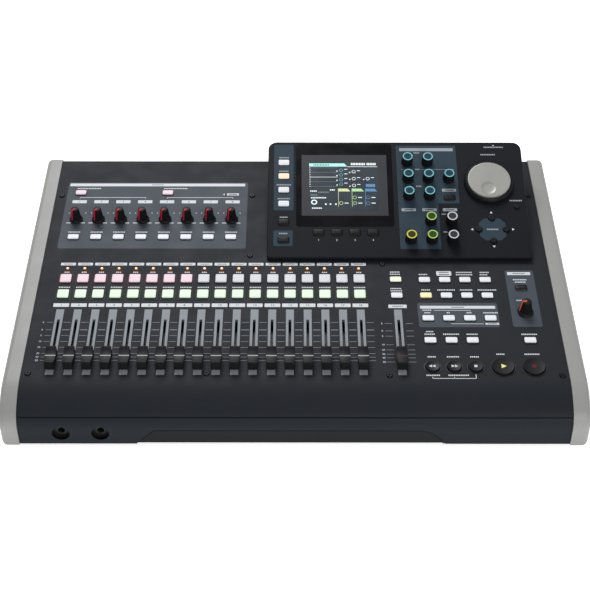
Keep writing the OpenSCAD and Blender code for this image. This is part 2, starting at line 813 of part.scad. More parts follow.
module pod_board() {
    inset = 7;
    translate([0, 0, -board_depth - board_t]) linear_extrude(board_t) difference() {
        translate([inset, inset + 3]) square([pod_w - 2 * inset, pod_l - 2 * inset - 3]);
        at(pod_boss_spots) circle(screw_hole_r);
    }
    translate([0, 0, -board_depth]) {
        at(concat(pod_key_spots, cursor_key_spots, [jog_key_spot])) switch_block(pod_wall);
        at(concat(encoder_spots, [jog_spot])) pot_block();
        at(pod_boss_spots) boss(board_depth - pod_wall);
    }
}

main_board_w = 240;
main_board_l = 150;
main_board_rise = 5;
module main_board() {
    translate([60, 20, base_top]) {
        translate([0, 0, main_board_rise]) linear_extrude(board_t)
            square([main_board_w, main_board_l], center = true);
        for (x = [-1, 1], y = [-1, 1])
            translate([x * (main_board_w / 2 - 8), y * (main_board_l / 2 - 8)])
                cylinder(r = boss_r, h = main_board_rise);
    }
}

module control_boards() {
    color(board_color) {
        on_panel() panel_board();
        on_pod() pod_board();
        main_board();
    }
}

// Sockets, each drawn with its mouth at the origin and +Z pointing out of the case
module bore(depth, r) {
    translate([0, 0, -depth]) cylinder(r = r, h = depth + 5);
}

// A jack at the bottom of a round cup that stands behind the fascia
module front_jack() {
    wall = 1.2;
    body_w = 14;
    cup_gap = 0.6;
    collar_r = 4.8;
    collar_h = 0.8;
    difference() {
        union() {
            translate([0, 0, -front_well - wall])
                cylinder(r = front_well_r + wall, h = front_well + wall - panel_t - cup_gap);
            translate([-body_w / 2, -body_w / 2, -front_well - jack_bore_l - 3])
                cube([body_w, body_w, jack_bore_l + 3 - wall / 2]);
        }
        translate([0, 0, -front_well]) difference() {
            cylinder(r = front_well_r, h = front_well);
            cylinder(r = collar_r, h = collar_h);
        }
        translate([0, 0, -front_well]) bore(jack_bore_l, jack_bore_r);
    }
}

module face_plate(pitch) {
    linear_extrude(plate_t) round_rect(pitch - plate_gap, plate_h, plate_r);
}

module line_jack() {
    bezel_r = 6.6;
    bezel_t = 1.5;
    half = line_body_w / 2;
    difference() {
        union() {
            face_plate(line_step);
            translate([0, 0, plate_t / 2])
                rotate_extrude() disc_profile(bezel_r, plate_t / 2 + bezel_t, 0.4);
            translate([-half, -half, -jack_bore_l - 3])
                cube([line_body_w, line_body_w, jack_bore_l + 3 + plate_t / 2]);
        }
        bore(jack_bore_l, jack_bore_r);
    }
}

module combo_socket() {
    core_r = 7.9;
    groove_w = 1.6;
    groove_l = 12;
    pin_r = 1.5;
    pin_circle = 5.9;
    difference() {
        union() {
            face_plate(combo_step);
            translate([0, 0, -jack_bore_l - 3]) cylinder(r = combo_body_r, h = jack_bore_l + 3 + plate_t / 2);
        }
        bore(jack_bore_l, jack_bore_r);
        translate([0, 0, -groove_l]) difference() {
            cylinder(r = core_r + groove_w, h = groove_l + plate_t + 1);
            cylinder(r = core_r, h = groove_l + plate_t + 1);
        }
        for (a = [90, 210, 330])
            rotate(a) translate([pin_circle, 0, -groove_l]) cylinder(r = pin_r, h = groove_l + plate_t + 1);
    }
}

module phono_socket() {
    barrel_l = 8;
    body_w = 12;
    difference() {
        union() {
            cylinder(r = phono_r + 1.4, h = 1);
            translate([0, 0, -rear_t]) cylinder(r = phono_r, h = rear_t + barrel_l);
            translate([-body_w / 2, -body_w / 2, -12 - rear_t]) cube([body_w, body_w, 12]);
        }
        translate([0, 0, -2]) cylinder(r = 1.7, h = barrel_l + 3);
    }
}

module din_socket() {
    groove_r = 6.6;
    groove_w = 0.9;
    pin_circle = 4.4;
    pin_r = 0.8;
    depth = 9;
    body_w = 19;
    difference() {
        union() {
            translate([0, 0, -rear_t]) cylinder(r = din_r, h = rear_t + 0.8);
            translate([-body_w / 2, -body_w / 2, -14 - rear_t]) cube([body_w, body_w, 14]);
        }
        translate([0, 0, -depth]) difference() {
            cylinder(r = groove_r + groove_w, h = depth + 2);
            cylinder(r = groove_r, h = depth + 2);
        }
        for (a = [0:45:180])
            rotate(a) translate([pin_circle, 0, -depth]) cylinder(r = pin_r, h = depth + 2);
    }
}

module data_socket() {
    wall = 0.6;
    depth = 7;
    difference() {
        translate([-data_w / 2, -data_h / 2, -depth - 1]) cube([data_w, data_h, depth + 1.4]);
        translate([-data_w / 2 + wall, -data_h / 2 + wall, -depth])
            cube([data_w - 2 * wall, data_h - 2 * wall, depth + 1]);
    }
}

module card_socket() {
    depth = 30;
    slot_h = 2.4;
    difference() {
        translate([-card_w / 2, -card_h / 2, -depth - 1]) cube([card_w, card_h, depth + 1.2]);
        translate([-card_w / 2 + 0.9, -slot_h / 2, -depth]) cube([card_w - 1.8, slot_h, depth + 1]);
    }
}

module power_inlet() {
    body_w = 11;
    depth = 10;
    difference() {
        union() {
            translate([0, 0, -rear_t]) cylinder(r = inlet_r, h = rear_t + 0.8);
            translate([-body_w / 2, -body_w / 2, -13 - rear_t]) cube([body_w, body_w, 13]);
        }
        translate([0, 0, -depth]) difference() {
            cylinder(r = 2.9, h = depth + 2);
            translate([0, 0, -1]) cylinder(r = 1, h = depth);
        }
    }
}

standby_proud = 4;
standby_l = 6;
module standby_switch_body() {
    body_w = 12;
    body_l = 12;
    well = standby_l + standby_travel + press_room;
    translate([-body_w / 2, -body_w / 2, -body_l - rear_t]) difference() {
        cube([body_w, body_w, body_l]);
        translate([body_w / 2, body_w / 2, body_l - well]) cylinder(r = standby_r + key_gap, h = well + 1);
    }
}

module sockets() {
    color(rubber_color) {
        for (x = front_jack_x)
            out_front(front_y + panel_drop) translate([x, front_jack_z]) front_jack();
        out_back(rear_face_y) mirror([0, 1, 0]) {
            in_row(combo_x, socket_z) combo_socket();
            in_row(line_jack_x, socket_z) line_jack();
            in_row(phono_x, socket_z) phono_socket();
            in_row(din_x, socket_z) din_socket();
            translate([data_x, socket_z]) data_socket();
            translate([card_x, low_socket_z]) card_socket();
            translate([inlet_x, socket_z]) power_inlet();
            translate([standby_x, socket_z]) standby_switch_body();
        }
    }
}

module power_switch() {
    color(knob_color) out_back(rear_face_y - rear_t - standby_l) mirror([0, 1, 0])
        translate([standby_x, socket_z])
            rotate_extrude() disc_profile(standby_r, standby_l + rear_t + standby_proud, 0.6);
}

// Keys
module record_buttons() {
    color(record_key_color) on_panel() in_row(channel_row, record_v) key(square_key_l, key_proud, panel_t);
}

module select_buttons() {
    color(select_key_color) on_panel() in_row(channel_row, select_v) key(square_key_l, key_proud, panel_t);
}

module function_buttons() {
    color(key_color) on_panel() at(function_spots) key(key_l, key_proud, panel_t);
}

module transport_buttons() {
    color(knob_color) on_panel() {
        at(small_transport) round_key(transport_d, key_proud, panel_t, 0.8);
        at(big_transport) round_key(play_d, key_proud, panel_t, 0.8);
    }
}

module pod_buttons() {
    color(key_color) on_pod() {
        at(pod_key_spots) key(key_l, pod_key_proud, pod_wall);
        at(cursor_key_spots) round_key(cursor_key_d, pod_key_proud, pod_wall, 0.5);
        translate(jog_key_spot) round_key(jog_key_d, pod_key_proud, pod_wall, 0.5);
    }
}

// Turning controls
module shaft(top) {
    shaft_end = board_depth - pot_h + 3;
    translate([0, 0, -shaft_end]) cylinder(d = shaft_d, h = shaft_end + top);
}

pointer_w = 1.4;
pointer_depth = 0.5;
module pointer_knob(skirt_d, top_d, h, heading) {
    skirt_h = 2;
    shoulder_h = 3.2;
    shoulder_d = skirt_d - 2.6;
    edge = 0.6;
    difference() {
        union() {
            rotate_extrude() polygon([[0, hover], [skirt_d / 2, hover], [skirt_d / 2, skirt_h],
                [shoulder_d / 2, shoulder_h], [top_d / 2, h - edge], [top_d / 2 - edge, h], [0, h]]);
            shaft(hover + 1);
        }
        rotate(heading) translate([0, -pointer_w / 2, h - pointer_depth]) cube([skirt_d, pointer_w, h]);
    }
}

trim_heading = 228;
phones_heading = 186;
module trim_knob(i) {
    color(knob_color) on_panel() translate([trim_x(i), trim_v, 0])
        pointer_knob(trim_d, trim_top_d, trim_h, trim_heading);
}

module phones_knob() {
    color(knob_color) on_panel() translate([phones_x, phones_v, 0])
        pointer_knob(phones_d, phones_d - 5, trim_h, phones_heading);
}

module encoder_knob(i) {
    spot = encoder_spots[i - 1];
    draft = 0.3;
    groove = 0.4;
    edge = 0.4;
    color(knob_color) on_pod() translate([spot[0], spot[1], 0]) {
        rotate_extrude() difference() {
            polygon([[0, hover], [encoder_d / 2, hover], [encoder_d / 2 - draft, encoder_h - edge],
                [encoder_d / 2 - draft - edge, encoder_h], [0, encoder_h]]);
            translate([encoder_ring_d / 2 - encoder_ring_w, encoder_h - groove])
                square([encoder_ring_w, groove + 1]);
        }
        shaft(hover + 1);
    }
}

module jog_wheel() {
    rim_h = 3;
    plate_edge = 0.6;
    dimple_back = 8.8;
    ball_r = (jog_dimple_d * jog_dimple_d / 4 + jog_dimple * jog_dimple) / (2 * jog_dimple);
    color(jog_color) on_pod() translate([jog_spot[0], jog_spot[1], 0]) difference() {
        union() {
            rotate_extrude() polygon([[0, hover], [jog_d / 2, hover], [jog_d / 2, rim_h],
                [jog_plate_d / 2 + 1, jog_h - 1], [jog_plate_d / 2, jog_h - 1],
                [jog_plate_d / 2, jog_h - plate_edge], [jog_plate_d / 2 - plate_edge, jog_h], [0, jog_h]]);
            shaft(hover + 1);
        }
        translate([-2, -dimple_back, jog_h - jog_dimple + ball_r]) sphere(ball_r);
    }
}

// Sliding controls
module fader_cap(x) {
    half = fader_cap_l / 2;
    draft = 0.6;
    line_w = 1;
    line_depth = 0.3;
    color(knob_color) on_panel() translate([x, fader_v, 0]) {
        difference() {
            intersection() {
                across(fader_cap_w) polygon([[-half, fader_ridge], [half, fader_ridge],
                    [half - draft, fader_cap_h], [draft - half, fader_cap_h]]);
                linear_extrude(fader_cap_h) polygon([[-fader_end_w / 2, -half], [fader_end_w / 2, -half],
                    [fader_cap_w / 2, -line_w], [fader_cap_w / 2, line_w], [fader_end_w / 2, half],
                    [-fader_end_w / 2, half], [-fader_cap_w / 2, line_w], [-fader_cap_w / 2, -line_w]]);
            }
            translate([-fader_cap_w, 0, fader_cap_h - fader_dish + dish_r]) rotate([0, 90, 0])
                cylinder(r = dish_r, h = 2 * fader_cap_w, $fn = 128);
            translate([-fader_cap_w, -line_w / 2, fader_cap_h - fader_dish - line_depth])
                cube([2 * fader_cap_w, line_w, fader_cap_h]);
        }
        translate([-lever_t / 2, -lever_l / 2, -lever_tip])
            cube([lever_t, lever_l, lever_tip + fader_ridge + 1]);
    }
}

top_cover();
front_fascia();
base_plate();
rear_panel();
left_cheek();
right_cheek();
pod_housing();
screen_window();
lcd_module();
control_boards();
sockets();
feet();
screws();
record_buttons();
select_buttons();
function_buttons();
transport_buttons();
pod_buttons();
power_switch();
jog_wheel();
phones_knob();
fader_cap(master_x);  // master_fader_cap
for (i = [1:trims])
    trim_knob(i);
for (i = [1:len(encoder_spots)])
    encoder_knob(i);
for (i = [1:channels])
    fader_cap(channel_x(i));
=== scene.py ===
"""Dresses a desktop digital multitrack recorder: finishes, printed marks, keys, knobs, screen and stage.

Places on a face of the recorder are in millimetres: x to the right, v up the slope and w out of the face.
"""
import json
import math

import bmesh
import bpy
from mathutils import Matrix, Vector


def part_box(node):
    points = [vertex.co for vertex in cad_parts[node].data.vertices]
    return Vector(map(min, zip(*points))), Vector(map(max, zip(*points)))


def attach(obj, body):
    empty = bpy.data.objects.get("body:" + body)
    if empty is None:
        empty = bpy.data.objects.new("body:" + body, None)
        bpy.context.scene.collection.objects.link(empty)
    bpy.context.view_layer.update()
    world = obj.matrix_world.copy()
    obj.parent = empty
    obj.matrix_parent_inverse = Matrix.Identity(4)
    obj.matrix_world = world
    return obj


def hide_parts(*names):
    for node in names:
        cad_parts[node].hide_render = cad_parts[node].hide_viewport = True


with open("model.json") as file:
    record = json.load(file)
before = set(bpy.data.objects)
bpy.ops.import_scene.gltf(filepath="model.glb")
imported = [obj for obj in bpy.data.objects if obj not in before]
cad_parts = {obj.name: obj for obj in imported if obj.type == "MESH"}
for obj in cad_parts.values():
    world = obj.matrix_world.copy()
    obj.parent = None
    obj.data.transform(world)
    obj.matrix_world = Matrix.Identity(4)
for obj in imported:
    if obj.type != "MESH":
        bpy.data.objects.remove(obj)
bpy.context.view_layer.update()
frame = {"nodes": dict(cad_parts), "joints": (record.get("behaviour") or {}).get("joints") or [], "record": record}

bl_info = {
    "name": "Multitrack Recorder Dresser",
    "version": (1, 0, 0),
    "blender": (4, 5, 0),
    "location": "View3D > Sidebar > Recorder",
    "description": "Gives a digital multitrack recorder its finishes, prints, controls and stage",
    "category": "Object",
}

MM = 0.001
JOINTS = {joint["name"]: joint for joint in frame["joints"]}
CHANNELS = sum(node.startswith("fader_cap_") for node in frame["nodes"])
TRIMS = sum(node.startswith("trim_knob_") for node in frame["nodes"])
ROUND = 64
SHARP = 32


class Face:
    """A flat face of the recorder, known by its directions and by one spot on it."""

    def __init__(self, up, out, point, spot):
        self.axes = Matrix((Vector((1, 0, 0)), Vector(up), Vector(out))).transposed()
        self.origin = Vector(point) / MM - self.axes @ Vector((spot[0], spot[1], 0))

    def place(self, x, v, w=0.0):
        """The point in the recorder's frame, in metres."""
        return (self.origin + self.axes @ Vector((x, v, w))) * MM

    def spot(self, point):
        """The x, v and w of a point given in metres."""
        return self.axes.transposed() @ (Vector(point) / MM - self.origin)


def outward(joint):
    """Direction out of the face that a control turns or presses into."""
    return -Vector(JOINTS[joint]["axis"])


PHONES_SPOT = (212.9, 92.58)
JOG_SPOT = (219.0, 88.3)
TABLE = Face((0, 1, 0), (0, 0, 1), (0, 0, 0), (0, 0))
PANEL = Face(JOINTS["master_fader_slide"]["axis"], outward("phones_turn"),
             JOINTS["phones_turn"]["pos_m"], PHONES_SPOT)
POD = Face(outward("jog_turn").cross(Vector((1, 0, 0))), outward("jog_turn"),
           JOINTS["jog_turn"]["pos_m"], JOG_SPOT)
REAR = Face((0, 0, 1), (0, 1, 0), (0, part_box("rear_panel")[1].y, 0), (0, 0))
FRONT = Face((0, 0, 1), (0, -1, 0), (0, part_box("front_fascia")[0].y, 0), (0, 0))


# Settings that a user can change
def linear(level):
    """Scene value of an 8-bit display level, by the sRGB curve."""
    share = level / 255
    return share / 12.92 if share <= 0.04045 else ((share + 0.055) / 1.055) ** 2.4


def shade(name, description, *levels):
    """A colour setting, given as display levels."""
    return bpy.props.FloatVectorProperty(
        name=name, description=description, subtype="COLOR", size=3, min=0.0, max=1.0,
        default=tuple(linear(level) for level in levels))


def amount(name, description, default, **kind):
    """A number setting and what kind of number it is."""
    return bpy.props.FloatProperty(name=name, description=description, default=default, **kind)


def length(name, description, millimetres):
    """A size setting, given in millimetres."""
    return amount(name, description, millimetres * MM, unit="LENGTH", precision=5)


class RecorderColours(bpy.types.PropertyGroup):
    """Colours of the recorder's finishes."""

    panel_coat: shade("Panel coat", "Powder coat of the sloping panel", 33, 36, 41)
    collar_plastic: shade("Collars", "Collars round the transport keys", 24, 27, 31)
    # Painted shade: the recess floor is painted darker than the fascia
    fascia_plastic: shade("Fascia", "Front fascia below the seam", 30, 35, 40)
    recess_plastic: shade("Recess", "Shallow recess along the foot of the fascia", 30, 31, 34)
    cheek_silver: shade("Cheeks", "Silver paint of the side cheeks", 146, 146, 144)
    chassis_steel: shade("Chassis", "Coated steel of the base and rear panel", 34, 34, 36)
    pod_plastic: shade("Pod", "Moulding of the display pod", 22, 25, 30)
    window_gloss: shade("Window", "Smoked window over the screen", 16, 16, 20)
    bezel_metal: shade("Screen bezel", "Frame round the screen", 50, 51, 56)
    screen_ground: shade("Screen", "Dark ground of the screen", 26, 37, 46)
    socket_plastic: shade("Sockets", "Moulded sockets", 24, 24, 26)
    socket_metal: shade("Socket metal", "Plated nuts of the jack sockets", 136, 136, 134)
    foot_rubber: shade("Feet", "Rubber feet", 22, 22, 22)
    screw_black: shade("Screws", "Blackened screws", 18, 18, 20)
    # The boards' green is darkened to near black: partly the dark slider bodies seen through the fader slots,
    # partly painted shade inside the slots
    board_green: shade("Boards", "Dark circuit boards inside", 12, 24, 20)
    plate_ink: shade("Plates", "Grey-blue printed plates of the panel", 66, 73, 81)
    pod_ink: shade("Pod plates", "Blue printed plates of the pod", 46, 61, 72)
    strip_ink: shade("Fader strips", "Pale strips along the fader slots", 134, 140, 146)
    pill_ink: shade("Pod bars", "Pale bars and pills of the pod", 150, 158, 164)
    caption_ink: shade("Pod captions", "Small marks beside the pod's keys", 158, 164, 170)
    halo_red: shade("Red halos", "Light round the lit red keys", 62, 28, 36)
    halo_amber: shade("Amber halo", "Light round the lit amber key", 128, 66, 30)
    halo_green: shade("Green halos", "Light round the lit green keys", 42, 52, 34)
    white_ink: shade("White print", "Bars and tabs", 204, 208, 212)
    legend_ink: shade("Legends", "Small marks beside the keys", 206, 211, 216)
    scale_ink: shade("Scales", "Level lines between the faders", 118, 122, 128)
    dark_ink: shade("Dark print", "Numbers on the tabs", 50, 54, 62)
    pink_key: shade("Lit red keys", "Armed and phantom keys", 220, 197, 208)
    # Unlit, yet the key recipe gives these keys a faint painted glow
    lavender_key: shade("Unlit keys", "Unlit square keys", 198, 198, 206)
    green_key: shade("Lit green keys", "Selected channel keys", 212, 229, 209)
    # Unlit, yet the key recipe gives these keys a faint painted glow
    white_key: shade("White keys", "Function keys", 214, 217, 222)
    amber_key: shade("Amber key", "Lit amber key", 232, 226, 178)
    cream_key: shade("Cream key", "Lit master key", 230, 236, 212)
    peach_key: shade("Peach key", "Lit pod key", 248, 220, 196)
    # Painted shade: the flanks of the keys are painted darker than their tops
    key_flank: shade("Key flanks", "Sides of the key caps below their lit tops", 92, 93, 97)
    black_key: shade("Black keys", "Transport and menu keys", 15, 15, 18)
    # Painted shade: flat dark prints and dark-painted faces where gaps, wells and recesses would only be dark from
    # shade
    key_well: shade("Key wells", "Gaps round the keys", 10, 10, 12)
    knob_black: shade("Knobs", "Soft black of knobs and caps", 20, 21, 24)
    pointer_red: shade("Red pointers", "Pointer lines of the trim knobs", 200, 30, 52)
    pointer_orange: shade("Orange pointer", "Pointer line of the phones knob", 214, 92, 34)
    master_line: shade("Master line", "Line on the master fader", 84, 40, 42)
    cap_line: shade("Fader lines", "Lines on the channel faders", 164, 166, 168)
    lamp_amber: shade("Channel lamps", "Overload lamps", 196, 104, 36)
    lamp_core: shade("Lamp cores", "Bright middles of the overload lamps", 255, 224, 178)
    ring_cyan: shade("Cyan rings", "Equaliser encoder rings", 118, 182, 194)
    ring_green: shade("Green rings", "Dynamics encoder rings", 166, 198, 104)
    ring_yellow: shade("Yellow rings", "Pan encoder ring", 212, 202, 74)
    ring_white: shade("White rings", "Send encoder rings", 200, 201, 204)
    hub_cyan: shade("Cyan hubs", "Middles of the equaliser encoders", 28, 58, 70)
    hub_green: shade("Green hubs", "Middles of the dynamics encoders", 46, 68, 26)
    hub_yellow: shade("Yellow hub", "Middle of the pan encoder", 52, 52, 26)
    hub_white: shade("White hubs", "Middles of the send encoders", 52, 53, 58)
    jog_silver: shade("Jog plate", "Silver plate of the jog wheel", 150, 150, 146)
    play_yellow: shade("Play mark", "Triangle on the play key", 226, 226, 150)
    record_red: shade("Record mark", "Disc on the record key", 96, 31, 37)
    screen_cyan: shade("Screen cyan", "Header on the screen", 150, 214, 208)
    screen_teal: shade("Screen teal", "First dials on the screen", 88, 136, 150)
    screen_white: shade("Screen white", "Lines on the screen", 206, 214, 214)
    screen_grey: shade("Screen grey", "Faint lines on the screen", 92, 106, 114)
    screen_yellow: shade("Screen yellow", "First tab on the screen", 176, 186, 130)
    screen_green: shade("Screen green", "Second tab on the screen", 148, 182, 132)
    screen_blue: shade("Screen blue", "Third tab on the screen", 72, 112, 148)
    floor_white: shade("Floor", "Pale floor", 252, 252, 252)


class RecorderSizes(bpy.types.PropertyGroup):
    """Sizes of the trim that dresses the recorder."""

    print_rise: length("Print rise", "Height of the printed marks above their face", 0.06)
    legend_h: length("Legend height", "Height of the small marks beside the keys", 1.5)
    letter_w: length("Letter width", "Spacing of the small marks beside the keys", 1.6)
    key_edge: length("Key edge", "Rounding of the key caps", 0.75)
    # Width of the painted shade round each key
    well_gap: length("Key gap", "Dark gap round a key", 0.5)
    strip_w: length("Strip width", "Width of a fader strip", 7.3)
    pointer_w: length("Pointer width", "Width of the knobs' pointer lines", 1.5)


class RecorderStage(bpy.types.PropertyGroup):
    """The camera and the lamps."""

    lens: amount("Lens", "Focal length", 81.0, unit="CAMERA")
    camera_y: amount("Camera y", "Camera in front of the recorder", -0.97475, unit="LENGTH")
    camera_z: amount("Camera height", "Camera above the table", 0.865, unit="LENGTH")
    look_down: amount("Look down", "Tilt of the view below the horizon",
                      math.radians(40.685), subtype="ANGLE")
    roll: amount("Roll", "Turn of the camera about its view", math.radians(0.05), subtype="ANGLE")
    sky: amount("Sky", "Strength of the even light", 0.4, min=0.0)
    key_watts: amount("Key lamp", "Power of the large lamp at the rear", 37.0, unit="POWER")
    front_watts: amount("Front lamp", "Power of the lamp in front", 20.0, unit="POWER")


def colours():
    return bpy.context.scene.recorder_colours


def sizes():
    return bpy.context.scene.recorder_sizes


# Finishes
MOTTLE_SCALE = 45.0
GLOSS_SPREAD = 0.05
NOISE_RANGE = (0.3, 0.7)


def wire(tree, start, out, end, into):
    tree.links.new(start.outputs[out], end.inputs[into])


def noise(tree, scale):
    """Noise that is fixed to the piece, with features of about 1 / scale metres."""
    place = tree.nodes.new("ShaderNodeTexCoord")
    texture = tree.nodes.new("ShaderNodeTexNoise")
    texture.inputs["Scale"].default_value = scale
    wire(tree, place, "Object", texture, "Vector")
    return texture


def spread(tree, texture, low, high):
    """The noise as a value that runs from low to high."""
    ramp = tree.nodes.new("ShaderNodeMapRange")
    for socket, level in zip(("From Min", "From Max", "To Min", "To Max"), (*NOISE_RANGE, low, high)):
        ramp.inputs[socket].default_value = level
    wire(tree, texture, "Fac", ramp, "Value")
    return ramp


def surface(name, colour, roughness=0.5, grain=0.3, relief=0.1, mottle=0.05, specular=0.4,
            metallic=0.0, glow=0.0):
    """A finish with a fine grain, given in millimetres, and a faint mottle in its colour and gloss."""
    material = bpy.data.materials.new(name)
    material.use_nodes = True
    tree = material.node_tree
    shader = tree.nodes["Principled BSDF"]
    shader.inputs["Metallic"].default_value = metallic
    shader.inputs["Specular IOR Level"].default_value = specular
    broad = noise(tree, MOTTLE_SCALE)
    tint = tree.nodes.new("ShaderNodeMix")
    tint.data_type = "RGBA"
    for socket, factor in (("A", 1.0 - mottle), ("B", 1.0 + mottle)):
        colour_socket = next(s for s in tint.inputs if s.name == socket and s.type == "RGBA")
        colour_socket.default_value = [min(level * factor, 1.0) for level in colour] + [1.0]
    tint_out = next(s for s in tint.outputs if s.type == "RGBA")
    tree.links.new(broad.outputs["Fac"], tint.inputs["Factor"])
    tree.links.new(tint_out, shader.inputs["Base Color"])
    gloss = spread(tree, broad, roughness - GLOSS_SPREAD, roughness + GLOSS_SPREAD)
    wire(tree, gloss, "Result", shader, "Roughness")
    if glow:
        tree.links.new(tint_out, shader.inputs["Emission Color"])
        shader.inputs["Emission Strength"].default_value = glow
    if relief:
        bump = tree.nodes.new("ShaderNodeBump")
        bump.inputs["Strength"].default_value = relief
        bump.inputs["Distance"].default_value = grain * MM
        wire(tree, noise(tree, 1 / (grain * MM)), "Fac", bump, "Height")
        wire(tree, bump, "Normal", shader, "Normal")
    return material


# How the finishes differ from the plain surface
RECIPES = {
    "panel_coat": dict(roughness=0.55, grain=0.35, relief=0.2, specular=0.09),
    "collar_plastic": dict(roughness=0.42, specular=0.2),
    "fascia_plastic": dict(roughness=0.45, specular=0.1),
    "recess_plastic": dict(specular=0.1),
    "cheek_silver": dict(roughness=0.45, grain=0.25, relief=0.08, mottle=0.02, metallic=0.05, specular=0.15),
    "chassis_steel": dict(relief=0.2),
    "pod_plastic": dict(specular=0.08),
    "window_gloss": dict(roughness=0.15, relief=0.0, specular=0.1),
    "bezel_metal": dict(roughness=0.4, relief=0.05, specular=0.15),
    "screen_ground": dict(roughness=0.3, relief=0.0, glow=0.35, specular=0.3),
    "socket_plastic": dict(roughness=0.45),
    "socket_metal": dict(roughness=0.28, grain=0.2, relief=0.05, metallic=1.0),
    "foot_rubber": dict(roughness=0.8, grain=0.4, relief=0.3),
    "screw_black": dict(roughness=0.4, grain=0.2, metallic=0.2, specular=0.2),
    "board_green": dict(grain=0.5),
    "knob_black": dict(grain=0.25, relief=0.15, specular=0.16),
    "black_key": dict(roughness=0.42, grain=0.25, specular=0.16),
    "key_well": dict(roughness=0.8, specular=0.1),
    "jog_silver": dict(roughness=0.4, grain=0.15, relief=0.08, mottle=0.02, metallic=0.3, specular=0.3),
    "floor_white": dict(roughness=0.9, relief=0.0, mottle=0.002, specular=0.0, glow=0.6),
}
INK = dict(grain=0.2, relief=0.05, mottle=0.025, specular=0.09)
# Keys glow faintly: on the lit keys this is their own light, and on the unlit lavender and white keys it is
# painted light
KEY = dict(roughness=0.4, relief=0.08, mottle=0.03, specular=0.12, glow=0.12)
LAMP = dict(roughness=0.3, relief=0.05, mottle=0.03, glow=1.0)
LIT = dict(roughness=0.3, relief=0.0, mottle=0.03, glow=0.6, specular=0.3)


def recipe(name):
    """How a finish is made, by its own name or by its family."""
    if name in RECIPES:
        return RECIPES[name]
    if name.endswith("_key"):
        return KEY
    if name.startswith("lamp_"):
        return LAMP
    return LIT if name.startswith("screen_") else INK


def finish(name):
    """The material of that name, made when it is first asked for."""
    label = "finish_" + name
    found = bpy.data.materials.get(label)
    return found or surface(label, tuple(getattr(colours(), name)), **recipe(name))


def paint(node, *names):
    """Gives a CAD node its finishes, and returns its mesh."""
    mesh = frame["nodes"][node].data
    mesh.materials.clear()
    for name in names:
        mesh.materials.append(finish(name))
    return mesh


# Shapes
def rect(x, v, wide, tall, r=0.0, steps=4):
    """Outline of a rectangle about x and v, with rounded corners, counter-clockwise."""
    if r <= 0:
        return [(x - wide / 2, v - tall / 2), (x + wide / 2, v - tall / 2),
                (x + wide / 2, v + tall / 2), (x - wide / 2, v + tall / 2)]
    points = []
    for corner, (sx, sv) in enumerate(((1, -1), (1, 1), (-1, 1), (-1, -1))):
        for step in range(steps + 1):
            turn = math.radians(corner * 90 - 90 + 90 * step / steps)
            points.append((x + sx * (wide / 2 - r) + r * math.cos(turn),
                           v + sv * (tall / 2 - r) + r * math.sin(turn)))
    return points


def span(left, low, right, high, r=0.0):
    """Outline of a rectangle from its lower left to its upper right corner."""
    return rect((left + right) / 2, (low + high) / 2, right - left, high - low, r)


def disc(x, v, r, steps=ROUND):
    """Outline of a circle, counter-clockwise."""
    turns = [2 * math.pi * i / steps for i in range(steps)]
    return [(x + r * math.cos(turn), v + r * math.sin(turn)) for turn in turns]


def wedge(x, v, size, heading):
    """Outline of a small triangle that points along a heading in degrees."""
    turns = [math.radians(heading + 120 * i) for i in range(3)]
    return [(x + size * math.cos(turn), v + size * math.sin(turn)) for turn in turns]


def at_height(outline, w):
    return [(x, v, w) for x, v in outline]


def hoops(x, v, profile, steps=ROUND):
    """Circles about one axis, from pairs of radius and height."""
    return [at_height(disc(x, v, r, steps), w) for r, w in profile]


class Shape:
    """Faces gathered on one face of the recorder, each with the name of its finish."""

    def __init__(self):
        self.points = []
        self.faces = []
        self.finishes = []

    def add(self, points, faces, name):
        start = len(self.points)
        self.points += points
        self.faces += [[start + i for i in face] for face in faces]
        self.finishes += [name] * len(faces)

    def loft(self, rings, name, ends=True):
        """Joins rings of equally many points, from the lowest up, and closes both ends or joins them up."""
        n = len(rings[0])
        count = len(rings)
        faces = []
        for r in range(count - 1 if ends else count):
            low, high = r * n, (r + 1) % count * n
            for i in range(n):
                after = (i + 1) % n
                faces.append([low + i, low + after, high + after, high + i])
        if ends:
            faces.append(list(range(n - 1, -1, -1)))
            faces.append([(count - 1) * n + i for i in range(n)])
        self.add([p for ring in rings for p in ring], faces, name)

    def plate(self, outline, low, high, name):
        self.loft([at_height(outline, low), at_height(outline, high)], name)

    def frame(self, outer, inner, low, high, name):
        """A plate with an opening; both outlines have equally many points."""
        self.loft([at_height(outer, low), at_height(outer, high),
                   at_height(inner, high), at_height(inner, low)], name, ends=False)

    def turned(self, x, v, profile, name, steps=ROUND):
        """Turns a profile of radius and height pairs, from its foot up to its top, about an axis."""
        self.loft(hoops(x, v, profile, steps), name)

    def make(self, name, face, body="case", slot=None, replaces=(), sharp=SHARP):
        """The piece, in place on its face and riding on its body."""
        names = sorted(set(self.finishes))
        mesh = bpy.data.meshes.new(name)
        mesh.from_pydata([face.place(*p) for p in self.points], [], self.faces)
        for finish_name in names:
            mesh.materials.append(finish(finish_name))
        mesh.polygons.foreach_set("material_index", [names.index(n) for n in self.finishes])
        mesh.polygons.foreach_set("use_smooth", [True] * len(mesh.polygons))
        mesh.set_sharp_from_angle(angle=math.radians(sharp))
        mesh.update()
        piece = bpy.data.objects.new(name, mesh)
        bpy.context.scene.collection.objects.link(piece)
        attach(piece, body)
        if replaces:
            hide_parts(*replaces)
        return piece


INK_SUNK = 0.3
MARK_R = 0.2
LETTER_FILL = 0.7
DIGIT_SCALE = 1.38


